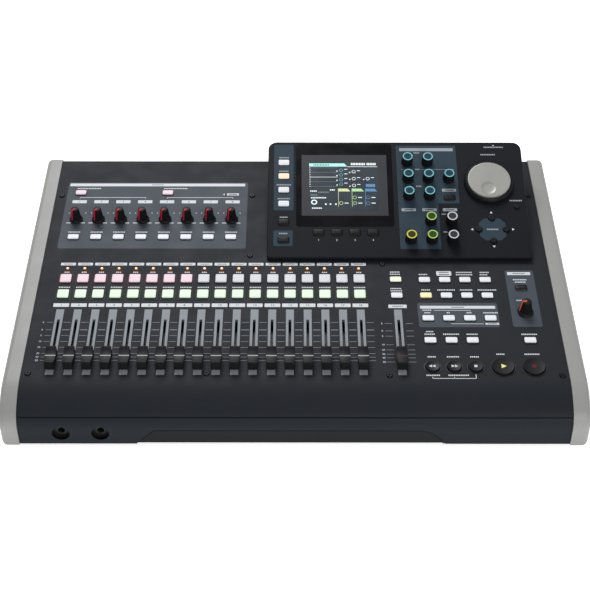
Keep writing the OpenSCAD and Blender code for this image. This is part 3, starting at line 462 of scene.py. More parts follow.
class Print(Shape):
    """Ink on a face: everything stands a hair above it, and above what was printed before."""

    def layer(self, level):
        """Foot and top of a layer of ink."""
        rise = sizes().print_rise / MM
        return rise * (level - 1) * 0.5, rise * (level + 1) * 0.5

    def area(self, outline, name, level=1):
        low, high = self.layer(level)
        self.plate(outline, low if level > 1 else -INK_SUNK, high, name)

    def tab(self, x, v, size, mark, name="white_ink", mark_name="dark_ink", level=1):
        """A tab, given as width, height and rounding, with a plain mark in its middle."""
        self.area(rect(x, v, *size), name, level)
        self.area(rect(x, v, *mark, MARK_R), mark_name, level + 1)

    def line(self, x0, v0, x1, v1, wide, name, level=2):
        """A straight stroke."""
        run = Vector((x1 - x0, v1 - v0))
        side = Vector((-run.y, run.x)).normalized() * wide / 2
        start, end = Vector((x0, v0)), Vector((x1, v1))
        corners = (start - side, end - side, end + side, start + side)
        self.area([tuple(p) for p in corners], name, level)

    def ring(self, x, v, r, wide, name, level=2, steps=24):
        low, high = self.layer(level)
        self.frame(disc(x, v, r, steps), disc(x, v, r - wide, steps), low, high, name)

    def legend(self, x, v, wide, name="legend_ink", level=2):
        """A row of bare blocks where a key's caption stands."""
        tall = sizes().legend_h / MM
        count = max(round(wide / (sizes().letter_w / MM)), 1)
        pitch = wide / count
        for i in range(count):
            self.area(rect(x - wide / 2 + pitch * (i + 0.5), v, LETTER_FILL * pitch, tall), name, level)

    def digits(self, words, x, v, tall, name, level=3):
        """Plain numbers, centred on a spot."""
        curve = bpy.data.curves.new("digits", "FONT")
        curve.body = words
        curve.size = tall * DIGIT_SCALE
        curve.align_x = "CENTER"
        curve.align_y = "CENTER"
        curve.extrude = sizes().print_rise / MM / 2
        holder = bpy.data.objects.new("digits", curve)
        bpy.context.scene.collection.objects.link(holder)
        drawn = holder.evaluated_get(bpy.context.evaluated_depsgraph_get())
        mesh = drawn.to_mesh()
        middle = self.layer(level)[0] + sizes().print_rise / MM / 2
        points = [(x + p.co.x, v + p.co.y, middle + p.co.z) for p in mesh.vertices]
        self.add(points, [list(f.vertices) for f in mesh.polygons], name)
        drawn.to_mesh_clear()
        bpy.data.objects.remove(holder)
        bpy.data.curves.remove(curve)


WELD = 0.0001
SHOWN = 0.2


class Extent:
    """How far spots on a face reach: their middle, their width and height, and how far they stand out."""

    def __init__(self, spots):
        low, high = ([pick(spot[i] for spot in spots) for i in range(3)] for pick in (min, max))
        self.x = (low[0] + high[0]) / 2
        self.v = (low[1] + high[1]) / 2
        self.wide = high[0] - low[0]
        self.tall = high[1] - low[1]
        self.proud = high[2]


def node_extent(node, face):
    """The extent of a whole CAD node on a face."""
    return Extent([face.spot(p.co) for p in frame["nodes"][node].data.vertices])


def loose_parts(node, face):
    """Spots of the corners of each separate solid in a CAD node."""
    mesh = bmesh.new()
    mesh.from_mesh(frame["nodes"][node].data)
    bmesh.ops.remove_doubles(mesh, verts=mesh.verts, dist=WELD * MM)
    left = set(mesh.verts)
    parts = []
    while left:
        group = [left.pop()]
        for corner in group:
            for edge in corner.link_edges:
                other = edge.other_vert(corner)
                if other in left:
                    left.remove(other)
                    group.append(other)
        parts.append([face.spot(corner.co) for corner in group])
    mesh.free()
    return parts


def key_tops(node, face):
    """What shows of each solid of a CAD node, row by row from the top, each row from the left."""
    tops = [Extent([spot for spot in part if spot.z > SHOWN]) for part in loose_parts(node, face)]
    return sorted(tops, key=lambda top: (-round(top.v), top.x))


KEY_FOOT = -1.2
KEY_CORNER = 1.2
KEY_CROWN = 0.12
KEY_BENDS = 3
CROWN_RINGS = ((0.7, 0.7), (0.35, 1.0))
HALO = 3.0


def key_cap(keys, wells, top, name, well="key_well"):
    """A moulded key with rounded corners and edges and a faint crown, with its flanks painted darker as shade, on
    a printed rim that stands for its well and is painted shade unless a lit halo colour is given.
    """
    edge = sizes().key_edge / MM
    gap = sizes().well_gap / MM
    rings = [at_height(rect(top.x, top.v, top.wide, top.tall, KEY_CORNER), KEY_FOOT)]
    for step in range(KEY_BENDS + 1):
        turn = math.radians(90 * step / KEY_BENDS)
        inset = edge * (1 - math.cos(turn))
        outline = rect(top.x, top.v, top.wide - 2 * inset, top.tall - 2 * inset, KEY_CORNER)
        rings.append(at_height(outline, top.proud - KEY_CROWN - edge * (1 - math.sin(turn))))
    for share, lift in CROWN_RINGS:
        outline = rect(top.x, top.v, top.wide * share, top.tall * share, KEY_CORNER * share)
        rings.append(at_height(outline, top.proud - KEY_CROWN * (1 - lift)))
    # The flanks get a darker colour as painted shade
    flank = slice(len(keys.finishes), len(keys.finishes) + len(rings[0]))
    keys.loft(rings, name)
    keys.finishes[flank] = ["key_flank"] * len(rings[0])
    # A rim round the key: painted shade that stands for its dark gap, unless a lit halo colour is given
    wells.area(rect(top.x, top.v, top.wide + 2 * gap, top.tall + 2 * gap, KEY_CORNER + gap), well, 2)


def halo(wells, top, name):
    """The light that a lit key throws round itself."""
    wells.area(rect(top.x, top.v, top.wide + HALO, top.tall + HALO, KEY_CORNER), name)


class Step:
    """What every operator of the recorder shares."""

    bl_options = {"REGISTER", "UNDO"}


# The case
SIDE_W = 15.6
EDGE_R = 5.0
REAR_R = 6.0
NOSE_R = 21.6
CREASE_R = 50.0
CREASE_BACK = 27.6
BEVEL = math.radians(27.0)
EDGE_STEPS = 10


def arc(y, z, r, start, end, steps):
    """Points on a circle from one heading to another, in degrees."""
    turns = [math.radians(start + (end - start) * i / steps) for i in range(steps + 1)]
    return [(y + r * math.cos(turn), z + r * math.sin(turn)) for turn in turns]


def cheek_line(inset):
    """Side line of a cheek from its front foot over the top to its rear foot, drawn in by an inset."""
    low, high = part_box("right_cheek")
    front, rear, floor = low.y / MM, high.y / MM, low.z / MM
    slope = math.atan2(PANEL.axes[2][1], PANEL.axes[1][1])
    rear_y = rear - REAR_R
    rear_z = high.z / MM - REAR_R
    top_y = rear_y - REAR_R * math.sin(slope)
    top_z = rear_z + REAR_R * math.cos(slope)
    crease_y = front + CREASE_BACK
    crease_z = top_z - (top_y - crease_y) * math.tan(slope)
    nose_y = front + NOSE_R
    nose_z = crease_z - (CREASE_BACK - NOSE_R) * math.tan(BEVEL) - NOSE_R / math.cos(BEVEL)
    share = CREASE_R / (1 + math.cos(BEVEL - slope))
    turn_y = crease_y + share * (math.sin(slope) + math.sin(BEVEL))
    turn_z = crease_z - share * (math.cos(slope) + math.cos(BEVEL))
    bevel_end, slope_end = 90 + math.degrees(BEVEL), 90 + math.degrees(slope)
    return ([(front + inset, floor + inset)]
            + arc(nose_y, nose_z, NOSE_R - inset, 180, bevel_end, 28)
            + arc(turn_y, turn_z, CREASE_R - inset, bevel_end, slope_end, 12)
            + arc(rear_y, rear_z, REAR_R - inset, slope_end, 0, 14)
            + [(rear - inset, floor + inset)])


def cheek(side):
    """A silver end cheek with a rounded outer edge; side is 1 on the right and -1 on the left."""
    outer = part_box("right_cheek")[1].x / MM
    stations = [(outer - SIDE_W, 0.0)]
    for i in range(EDGE_STEPS + 1):
        turn = math.radians(90 * i / EDGE_STEPS)
        stations.append((outer - EDGE_R * (1 - math.sin(turn)), EDGE_R * (1 - math.cos(turn))))
    rings = [[(side * x, y, z) for y, z in cheek_line(inset)] for x, inset in stations]
    if side > 0:
        rings = [ring[::-1] for ring in rings]
    node = "right_cheek" if side > 0 else "left_cheek"
    shape = Shape()
    shape.loft(rings, "cheek_silver")
    shape.make(node + "_shell", TABLE, slot="cheek_plastic", replaces=(node,), sharp=24)


RECESS = (-140.0, 2.5, 133.0, 18.9)
RECESS_SLANT = 17.0
RECESS_R = 26.0
RECESS_BEND = 22
RECESS_DEPTHS = (-1.6, -1.2)
# Width of the painted shadow line along the recess
RECESS_SHADOW_W = 0.7
JACK_WELL = (8.0, -0.3)


def fascia():
    """The fascia, with the floor of its recess a little duller and painted a shade darker as painted shade, a thin
    painted shadow line along the recess's outline, and the insides of its jack wells painted dark as painted
    shade.
    """
    left, low, right, high = RECESS
    well_r, well_top = JACK_WELL
    mesh = paint("front_fascia", "fascia_plastic", "recess_plastic", "key_well")
    jacks = [FRONT.spot(mount["pos_m"]) for mount in frame["record"]["mounts"]
             if mount["name"].startswith("front_jack")]
    for polygon in mesh.polygons:
        x, z, depth = FRONT.spot(polygon.center)
        # Faces inside the jack wells get painted shade, and the recess floor its darker painted shade
        if depth < well_top and any(math.hypot(x - jack.x, z - jack.y) < well_r for jack in jacks):
            polygon.material_index = 2
        elif left < x < right and z < high and RECESS_DEPTHS[0] < depth < RECESS_DEPTHS[1]:
            polygon.material_index = 1
    # A thin painted shadow line along the recess's outline
    route = [(left, low), (left + RECESS_SLANT, high)]
    route += arc(right - RECESS_R, high - RECESS_R, RECESS_R, 90, RECESS_BEND, 10)
    edge = Print()
    for start, end in zip(route, route[1:]):
        edge.line(*start, *end, RECESS_SHADOW_W, "key_well", 1)
    edge.make("recess_shadow_line", FRONT)


# Arms of the painted shade cross on each screw head
SCREW_RECESS_SHADE = ((0.32, 1.1), (1.1, 0.32))


class RECORDER_OT_case(Step, bpy.types.Operator):
    """Finish the cover, fascia, cheeks, base, rear panel, feet and screws"""

    bl_idname = "recorder.case"
    bl_label = "Case"

    def execute(self, context):
        fascia()
        # The boards are painted near black, partly as painted shade in the fader slots
        for node, name in (("top_cover", "panel_coat"), ("base_plate", "chassis_steel"),
                           ("rear_panel", "chassis_steel"), ("control_boards", "board_green"),
                           ("lcd_module", "bezel_metal")):
            paint(node, name)
        for side in (-1, 1):
            cheek(side)
        feet = Shape()
        for foot in key_tops("feet", TABLE):
            r, top = foot.wide / 2, foot.proud
            profile = [(r - 3, 0.5), (r - 2.4, 0), (r - 0.8, 0), (r - 0.2, 0.3), (r, 0.9), (r, top)]
            feet.turned(foot.x, foot.v, profile, "foot_rubber")
        feet.make("rubber_feet", TABLE, slot="foot_rubber", replaces=("feet",))
        screws = Shape()
        for head in key_tops("screws", PANEL):
            r, top = head.wide / 2, head.proud
            profile = [(r, -0.1), (r, 0.3 * top), (0.9 * r, 0.7 * top), (0.7 * r, top)]
            screws.turned(head.x, head.v, profile, "screw_black", 32)
            # A dark cross of painted shade on each head where its cross recess would be
            for wide, tall in SCREW_RECESS_SHADE:
                screws.plate(rect(head.x, head.v, wide * r, tall * r), top - 0.1, top + 0.02, "key_well")
        screws.make("panel_screws", PANEL, slot="screw_steel", replaces=("screws",))
        return {"FINISHED"}


# Prints of the panel
TAB_V = 157.4
TAB = (14.3, 3.7, 0.5)
TAB_MARK = (8.6, 1.0)
LAMP_V = 151.2
RECORD_LEGEND = (146.0, 5.2)
SELECT_LEGEND = (125.4, 11.0)
NUMBER_V = 101.7
NUMBER_TAB = (14.6, 4.6, 0.5)
NUMBER_H = 2.7
STRIP_LOW = 14.6
STRIP_HIGH = 96.1
SLOT_W = 2.6
SLOT_END = 7.5
TICKS = (79.3, 69.8, 62.5, 55.1, 47.8, 40.3, 36.0, 31.8)
TICK_NUMBERS = ("6", "0", "5", "10", "20", "30", "40", "50")
TICK_NUMBER_H = 2.0
TICK_REACH = 3.4
FIRST_TICK = 2.0
FIRST_NUMBER = 5.2
TICK_W = 0.6
ZERO_W = 1.0
MASTER_TAB_V = 100.4
MASTER_TAB = (17.0, 4.4, 0.5)
MASTER_MARK = (10.0, 1.1)
MASTER_TICKS = (78.1, 68.7, 62.0, 51.3, 44.9, 39.7, 35.2, 30.2)
MASTER_TICK = (6.2, 13.0)
MASTER_NUMBER = 15.6
PLATE_R = 2.0
BAR_R = 0.6
BAR_MARK = (12.0, 1.1)
INPUT_PLATE = (-231.0, 179.5, -48.0, 279.5)
INPUT_BAR = (-229.7, 273.6, -51.0, 277.9)
PUNCH_PLATE = (113.6, 73.5, 187.7, 105.0)
PUNCH_BAR = (116.0, 97.4, 185.7, 101.1)
PHONES_PLATE = (199.7, 74.0, 226.7, 149.0)
PHONES_BAR = (201.9, 142.6, 223.8, 146.6)
# Parts of the input section: heights on the panel, or distances from the trim knobs
TRIM_TAB = (14.4, 4.6, 0.6)
TRIM_TAB_UP = 27.8
TRIM_LINE_DOWN = 4.5
TRIM_LINES = ((-5.0, -9.6), (4.6, 8.8))
TRIM_LINE_W = 1.1
TRIM_DOT = (8.2, 10.5, 0.6)
ASSIGN_LEGEND = (203.4, 12.0)
PHANTOM_LINE_V = 255.9
PHANTOM_LINE_W = 0.6
PHANTOM_ENDS = (254.4, 256.2)
PHANTOM_LEGEND = (7.5, 270.0, 24.0)
ASSIGN_TAB_V = 260.9
ASSIGN_TAB = (12.0, 3.2, 0.5)
ASSIGN_MARK = (8.0, 1.0)
ASSIGN_ARROW = (9.0, 1.5)
# Lines that tie keys together, as their ends and width
BRACKETS = (
    (128.5, 95.2, 162.0, 95.2, 0.5), (142.0, 94.0, 142.0, 95.4, 0.5), (162.0, 94.0, 162.0, 95.4, 0.5),
    (143.0, 77.8, 173.0, 77.8, 0.5), (121.5, 10.6, 159.8, 10.6, 0.6), (121.5, 10.4, 121.5, 12.4, 0.6),
    (140.6, 10.4, 140.6, 12.4, 0.6), (159.8, 10.4, 159.8, 15.4, 0.6),
)
# A tab with two marks among the right-hand keys: its spot, its size, the marks' heights and their size
KEY_TAB = ((141.6, 144.8), (14.2, 6.2, 0.8), (146.2, 143.4), (9.6, 0.9))
# A tab with one mark: its spot, its size and the mark's size
PUNCH_TAB = ((180.8, 77.8), (12.4, 2.4, 0.5), (8.6, 0.8))
# Captions of the right-hand keys as x, v and width
CAPTIONS = (
    (121.7, 143.3, 8.5), (160.8, 146.2, 15.5), (160.8, 143.0, 15.9), (180.2, 146.2, 9.0), (179.2, 143.0, 7.5),
    (122.7, 122.2, 8.4), (142.0, 122.2, 16.9), (160.8, 122.2, 12.1), (180.4, 122.2, 18.0),
    (95.0, 146.6, 9.4), (95.0, 143.5, 9.9), (94.8, 124.0, 10.6), (95.2, 121.0, 11.2),
    (122.0, 95.4, 8.6), (122.3, 92.0, 6.0), (141.6, 92.0, 3.2), (160.8, 92.0, 5.0), (180.6, 92.0, 13.8),
    (122.6, 67.8, 7.2), (122.4, 64.5, 9.8), (141.9, 64.5, 15.0), (161.0, 64.5, 10.4), (212.9, 64.5, 14.6),
    (122.2, 36.5, 7.7), (141.3, 36.5, 11.3), (160.5, 36.5, 8.2), (184.0, 39.8, 7.7), (212.3, 39.8, 13.8),
    (122.0, 14.3, 12.4), (144.5, 14.3, 18.5), (212.9, 136.2, 13.2), (212.9, 133.0, 10.4), (209.0, 108.4, 5.4),
)


def fader_strip(ink, x, slot_low, slot_high):
    """A pale strip with the slot left open."""
    wide = sizes().strip_w / MM
    low, high = ink.layer(1)
    ink.frame(span(x - wide / 2, STRIP_LOW, x + wide / 2, STRIP_HIGH),
              span(x - SLOT_W / 2, slot_low, x + SLOT_W / 2, slot_high), low, high, "strip_ink")


class RECORDER_OT_panel_print(Step, bpy.types.Operator):
    """Print the panel: plates, bars, tabs, numbers, fader strips and level lines"""

    bl_idname = "recorder.panel_print"
    bl_label = "Panel print"

    def execute(self, context):
        ink = Print()
        channels = [top.x for top in key_tops("record_buttons", PANEL)]
        for plate, bar in ((INPUT_PLATE, INPUT_BAR), (PUNCH_PLATE, PUNCH_BAR), (PHONES_PLATE, PHONES_BAR)):
            ink.area(span(*plate, PLATE_R), "plate_ink")
            ink.area(span(*bar, BAR_R), "white_ink", 2)
            middle = ((bar[0] + bar[2]) / 2, (bar[1] + bar[3]) / 2)
            ink.area(rect(*middle, *BAR_MARK, MARK_R), "scale_ink", 3)
        for number, x in enumerate(channels, 1):
            ink.tab(x, TAB_V, TAB, TAB_MARK, mark_name="scale_ink")
            for v, wide in (RECORD_LEGEND, SELECT_LEGEND):
                ink.legend(x, v, wide)
            ink.area(rect(x, NUMBER_V, *NUMBER_TAB), "white_ink")
            ink.digits(str(number), x, NUMBER_V, NUMBER_H, "dark_ink", 2)
        self.levels(ink, channels)
        for x, v, wide in CAPTIONS:
            ink.legend(x, v, wide)
        spot, size, heights, mark = KEY_TAB
        ink.area(rect(*spot, *size), "white_ink")
        for v in heights:
            ink.area(rect(spot[0], v, *mark, MARK_R), "dark_ink", 2)
        self.inputs(ink)
        for bracket in BRACKETS:
            ink.line(*bracket, "legend_ink")
        spot, size, mark = PUNCH_TAB
        ink.tab(*spot, size, mark, level=2)
        ink.make("panel_print", PANEL)
        return {"FINISHED"}

    def levels(self, ink, channels):
        """Strips of the faders, and the lines and numbers of their levels."""
        travel = JOINTS["fader_1_slide"]["range_m"][1] / MM
        faders = [f"fader_cap_{i}" for i in range(1, CHANNELS + 1)]
        caps = [node_extent(node, PANEL) for node in faders + ["master_fader_cap"]]
        for cap in caps:
            fader_strip(ink, cap.x, cap.v - SLOT_END, cap.v + travel + SLOT_END)
        x = caps[-1].x
        ink.tab(x, MASTER_TAB_V, MASTER_TAB, MASTER_MARK, mark_name="scale_ink")
        for v, number in zip(MASTER_TICKS, TICK_NUMBERS):
            for side in (-1, 1):
                ink.line(x + side * MASTER_TICK[0], v, x + side * MASTER_TICK[1], v, TICK_W, "scale_ink")
            ink.digits(number, x - MASTER_NUMBER, v, TICK_NUMBER_H, "legend_ink", 2)
        half = (channels[1] - channels[0]) / 2
        first = channels[0] - half
        for v, number in zip(TICKS, TICK_NUMBERS):
            ink.line(first - FIRST_TICK, v, first + TICK_REACH, v, TICK_W, "scale_ink")
            ink.digits(number, first - FIRST_NUMBER, v, TICK_NUMBER_H, "legend_ink", 2)
            for x in channels:
                thick = ZERO_W if number == "0" else TICK_W
                ink.line(x + half - TICK_REACH, v, x + half + TICK_REACH, v, thick, "scale_ink")

    def inputs(self, ink):
        """Tabs, lines and captions of the input section."""
        trims = [PANEL.spot(JOINTS[f"trim_{i}_turn"]["pos_m"]) for i in range(1, TRIMS + 1)]
        for number, (x, v, _) in enumerate(trims, 1):
            ink.area(rect(x, v + TRIM_TAB_UP, *TRIM_TAB), "white_ink", 2)
            ink.digits(str(number), x, v + TRIM_TAB_UP, NUMBER_H, "dark_ink")
            for start, end in TRIM_LINES:
                line_v = v - TRIM_LINE_DOWN
                ink.line(x + start, line_v, x + end, line_v, TRIM_LINE_W, "white_ink")
            aside, above, r = TRIM_DOT
            for side in (-1, 1):
                ink.area(disc(x + side * aside, v + above, r, 12), "white_ink", 2)
            ink.legend(x, *ASSIGN_LEGEND)
        half = TRIMS // 2
        for left, right in ((trims[0].x, trims[half - 1].x), (trims[half].x, trims[-1].x)):
            ink.line(left, PHANTOM_LINE_V, right, PHANTOM_LINE_V, PHANTOM_LINE_W, "legend_ink")
            for x in (left, right):
                ink.line(x, PHANTOM_ENDS[0], x, PHANTOM_ENDS[1], PHANTOM_LINE_W, "legend_ink")
            aside, v, wide = PHANTOM_LEGEND
            ink.legend(left + aside, v, wide)
        last = trims[-1].x
        ink.tab(last, ASSIGN_TAB_V, ASSIGN_TAB, ASSIGN_MARK, level=2)
        aside, size = ASSIGN_ARROW
        ink.area(wedge(last - aside, ASSIGN_TAB_V, size, 180), "white_ink", 2)


# Keys of the panel
ARMED = 8
LAMP_BODY = ((1.5, -0.2), (1.5, 0.3), (1.2, 0.6), (0.9, 0.7))
LAMP_CORE = ((0.9, 0.5), (0.9, 0.8), (0.4, 1.0))
# Places of the panel's keys that are not white, from the lower left to the upper right
TINTED_KEYS = {
    "pink_key": (-250, 250, 0, 300), "cream_key": (90, 125, 100, 160),
    "black_key": (200, 100, 230, 160), "amber_key": (115, 105, 130, 125),
}


class RECORDER_OT_channel_keys(Step, bpy.types.Operator):
    """Mould the record and select keys and the lamps above them"""

    bl_idname = "recorder.channel_keys"
    bl_label = "Channel keys"

    def execute(self, context):
        wells = Print()
        record = key_tops("record_buttons", PANEL)
        keys = Shape()
        for number, top in enumerate(record, 1):
            armed = number <= ARMED
            key_cap(keys, wells, top, "pink_key" if armed else "lavender_key")
            if armed:
                halo(wells, top, "halo_red")
        keys.make("record_keys", PANEL, "record_keys", "record_key", ("record_buttons",))
        keys = Shape()
        for top in key_tops("select_buttons", PANEL):
            key_cap(keys, wells, top, "green_key")
            halo(wells, top, "halo_green")
        keys.make("select_keys", PANEL, "select_keys", "select_key", ("select_buttons",))
        lamps = Shape()
        for top in record:
            lamps.turned(top.x, LAMP_V, LAMP_BODY, "lamp_amber", 20)
            lamps.turned(top.x, LAMP_V, LAMP_CORE, "lamp_core", 20)
        lamps.make("channel_lamps", PANEL)
        wells.make("channel_key_shade_and_halos", PANEL)
        return {"FINISHED"}


def function_finish(top):
    """Colour of a key on the panel, by its place."""
    for name, (left, low, right, high) in TINTED_KEYS.items():
        if left < top.x < right and low < top.v < high:
            return name
    return "white_key"


class RECORDER_OT_function_keys(Step, bpy.types.Operator):
    """Mould the small keys of the panel"""

    bl_idname = "recorder.function_keys"
    bl_label = "Function keys"

    def execute(self, context):
        wells = Print()
        keys = Shape()
        for top in key_tops("function_buttons", PANEL):
            name = function_finish(top)
            # The amber key gets a halo of its light round it, the others a rim of painted shade
            key_cap(keys, wells, top, name, "halo_amber" if name == "amber_key" else "key_well")
        keys.make("function_keys", PANEL, "function_keys", "function_key", ("function_buttons",))
        wells.make("function_key_shade_and_halo", PANEL)
        return {"FINISHED"}


MARK_DEEP = 0.6


class RECORDER_OT_transport_keys(Step, bpy.types.Operator):
    """Turn the round transport keys and print their marks"""

    bl_idname = "recorder.transport_keys"
    bl_label = "Transport keys"

    def execute(self, context):
        keys = Shape()
        collars = Shape()
        tops = sorted(key_tops("transport_buttons", PANEL), key=lambda top: top.x)
        for top in tops:
            r, h = top.wide / 2, top.proud
            profile = [(r, KEY_FOOT), (r, h - 0.7), (r - 0.2, h - 0.25), (r - 0.65, h),
                       (r - 1.3, h - 0.1), (0.55 * r, h - 0.4), (0.2 * r, h - 0.45)]
            keys.turned(top.x, top.v, profile, "black_key")
            outer, inner = disc(top.x, top.v, r + 1.5), disc(top.x, top.v, r + 0.35)
            collars.frame(outer, inner, -0.2, 0.35, "collar_plastic")
        rewind, forward, stop, play, record = tops
        marks = [wedge(rewind.x - 1.6, rewind.v, 1.9, 180), wedge(rewind.x + 1.5, rewind.v, 1.9, 180),
                 wedge(forward.x - 1.5, forward.v, 1.9, 0), wedge(forward.x + 1.6, forward.v, 1.9, 0),
                 rect(stop.x, stop.v, 2.6, 2.6)]
        for outline in marks:
            keys.plate(outline, rewind.proud - MARK_DEEP, rewind.proud - 0.28, "white_ink")
        for top, outline, name in ((play, wedge(play.x, play.v, 3.0, 0), "play_yellow"),
                                   (record, disc(record.x, record.v, 2.1, 32), "record_red")):
            keys.plate(outline, top.proud - MARK_DEEP, top.proud - 0.3, name)
        keys.make("transport_keys", PANEL, "transport_keys", "transport_key", ("transport_buttons",))
        collars.make("transport_collars", PANEL)
        return {"FINISHED"}


# Sliding and turning controls
CAP_BASE = 1.2
CAP_DRAFT = 0.6
CAP_BROW = 0.5
CAP_DROP = 0.4
CAP_ENDS = 0.83
CAP_LAND = 1.5
CAP_DISH = 2.0
CAP_EDGE = 0.45
CAP_BEND = 0.13
CAP_STEPS = 12
CAP_STEM = (1.2, 4.0)
CAP_LINE_W = 1.1


def cap_profile(half, top):
    """Side outline of a fader cap: a block with a dished top."""
    shoulder, brow = half - CAP_DRAFT, half - CAP_DRAFT - CAP_BROW
    points = [(-half, CAP_BASE), (half, CAP_BASE), (shoulder, top - CAP_DROP), (brow, top)]
    reach = half - CAP_LAND
    for i in range(CAP_STEPS + 1):
        v = reach * (1 - 2 * i / CAP_STEPS)
        points.append((v, top - CAP_DISH * (1 - (v / reach) ** 2)))
    return points + [(-brow, top), (-shoulder, top - CAP_DROP)]


def drawn_in(points, inset):
    """An outline moved inwards along its corners' normals."""
    result = []
    for i, (v, w) in enumerate(points):
        before, after = Vector(points[i - 1]), Vector(points[(i + 1) % len(points)])
        along = (after - before).normalized()
        result.append((v - along.y * inset, w + along.x * inset))
    return result


def fader_cap(name, node, body, line):
    """A dished cap, narrower at its ends, with a line across and a stem through the slot."""
    cap = node_extent(node, PANEL)
    x, v, top = cap.x, cap.v, cap.proud
    half_w, half_l = cap.wide / 2, cap.tall / 2
    outline = cap_profile(half_l, top)
    stations = [(-half_w, CAP_EDGE), (CAP_BEND - half_w, CAP_BEND), (CAP_EDGE - half_w, 0.0),
                (half_w - CAP_EDGE, 0.0), (half_w - CAP_BEND, CAP_BEND), (half_w, CAP_EDGE)]
    rings = [[(x + dx * (1 - (1 - CAP_ENDS) * abs(dv) / half_l), v + dv, w)
              for dv, w in drawn_in(outline, inset)] for dx, inset in stations]
    shape = Shape()
    shape.loft(rings, "knob_black")
    shape.plate(rect(x, v, *CAP_STEM), -5.0, CAP_BASE + 0.3, "knob_black")
    floor = top - CAP_DISH
    shape.plate(rect(x, v, 2 * (half_w - CAP_EDGE), CAP_LINE_W), floor - 0.2, floor + 0.07, line)
    shape.make(name, PANEL, body, "knob_plastic", (node,))


class RECORDER_OT_faders(Step, bpy.types.Operator):
    """Mould the dished fader caps"""

    bl_idname = "recorder.faders"
    bl_label = "Faders"

    def execute(self, context):
        for i in range(1, CHANNELS + 1):
            fader_cap(f"channel_fader_{i}", f"fader_cap_{i}", f"fader_{i}", "cap_line")
        fader_cap("master_fader_grip", "master_fader_cap", "master_fader", "master_line")
        return {"FINISHED"}


FLUTES = 18
FLUTED = FLUTES * 8
LINE_DEEP = 0.5
TRIM_HEADING = 228
PHONES_HEADING = 186


def fluted(x, v, r, depth):
    """Outline of a fluted grip."""
    points = []
    for i in range(FLUTED):
        turn = 2 * math.pi * i / FLUTED
        reach = r - depth * (0.5 - 0.5 * math.cos(FLUTES * turn))
        points.append((x + reach * math.cos(turn), v + reach * math.sin(turn)))
    return points


def pointer_knob(name, node, body, heading, line):
    """A tapered knob with a skirt, fluted sides and a pointer line over its top and down its flank."""
    grip = node_extent(node, PANEL)
    x, v, r, top = grip.x, grip.v, grip.wide / 2, grip.proud
    neck, crown = r - 1.3, 0.57 * r
    shape = Shape()
    skirt = [(r - 0.3, 0.6), (r, 1.0), (r, 1.7), (r - 0.4, 2.2), (neck - 0.2, 3.0)]
    shape.turned(x, v, skirt, "knob_black", FLUTED)
    rings = [at_height(fluted(x, v, neck, 0.5), 2.6), at_height(fluted(x, v, crown + 0.1, 0.45), top - 1.2)]
    rings += hoops(x, v, [(crown - 0.1, top - 0.7), (crown - 0.35, top - 0.25), (crown - 0.8, top)], FLUTED)
    shape.loft(rings, "knob_black")
    turn = math.radians(heading)
    along = Vector((math.cos(turn), math.sin(turn)))
    side = Vector((-along.y, along.x)) * sizes().pointer_w / MM / 2
    route = [(0.3, top + 0.05), (crown - 0.5, top + 0.05), (crown + 0.12, top - 0.7), (neck + 0.1, 3.4)]
    rings = []
    for reach, w in route:
        outer = Vector((x, v)) + along * reach
        inner, low = (outer, w - LINE_DEEP) if w > top else (outer - along * LINE_DEEP, w)
        corners = ((outer + side, w), (outer - side, w), (inner - side, low), (inner + side, low))
        rings.append([(spot.x, spot.y, height) for spot, height in corners])
    shape.loft(rings, line)
    shape.make(name, PANEL, body, "knob_plastic", (node,))


class RECORDER_OT_knobs(Step, bpy.types.Operator):
    """Mould the trim knobs and the phones knob"""

    bl_idname = "recorder.knobs"
    bl_label = "Knobs"

    def execute(self, context):
        for i in range(1, TRIMS + 1):
            pointer_knob(f"trim_grip_{i}", f"trim_knob_{i}", f"trim_{i}", TRIM_HEADING, "pointer_red")
        pointer_knob("phones_grip", "phones_knob", "phones", PHONES_HEADING, "pointer_orange")
        return {"FINISHED"}


RING_NAMES = ("ring_cyan",) * 7 + ("ring_green", "ring_white", "ring_yellow", "ring_green", "ring_white")
RING_R = 4.9
RING_W = 1.1
ENCODER_EDGE = ((0.4, 0.8), (0.45, 0.35), (0.6, 0.1), (0.85, 0.0))


class RECORDER_OT_encoders(Step, bpy.types.Operator):
    """Turn the ringed encoder knobs"""

    bl_idname = "recorder.encoders"
    bl_label = "Encoders"

    def execute(self, context):
        for i, ring in enumerate(RING_NAMES, 1):
            node = f"encoder_knob_{i}"
            grip = node_extent(node, POD)
            x, v, r, top = grip.x, grip.v, grip.wide / 2, grip.proud
            rings = hoops(x, v, [(r - 0.2, 0.6), (r, 0.9), (r, 1.5)], FLUTED)
            rings += [at_height(fluted(x, v, r, 0.3), 1.8), at_height(fluted(x, v, r - 0.3, 0.3), top - 1.2)]
            rings += hoops(x, v, [(r - inset, top - drop) for inset, drop in ENCODER_EDGE], FLUTED)
            shape = Shape()
            shape.loft(rings, "knob_black")
            hub_r = RING_R - RING_W
            shape.frame(disc(x, v, RING_R), disc(x, v, hub_r), top - 0.2, top + 0.08, ring)
            hub = [(hub_r, top - 0.2), (hub_r, top + 0.02), (1.0, top + 0.02)]
            shape.turned(x, v, hub, ring.replace("ring", "hub"))
            shape.make(f"encoder_grip_{i}", POD, f"encoder_{i}", "knob_plastic", (node,))
        return {"FINISHED"}


DIMPLE_BACK = (-1.5, -10.0)
DIMPLE_R = 7.3
DIMPLE_DEPTH = 0.65
DIMPLE_RIM = 1.04
DIMPLE_SHARES = (1.0, 0.97, 0.92, 0.85, 0.75, 0.6, 0.4, 0.2)
JOG_RIM = 3.35
JOG_STEPS = 120


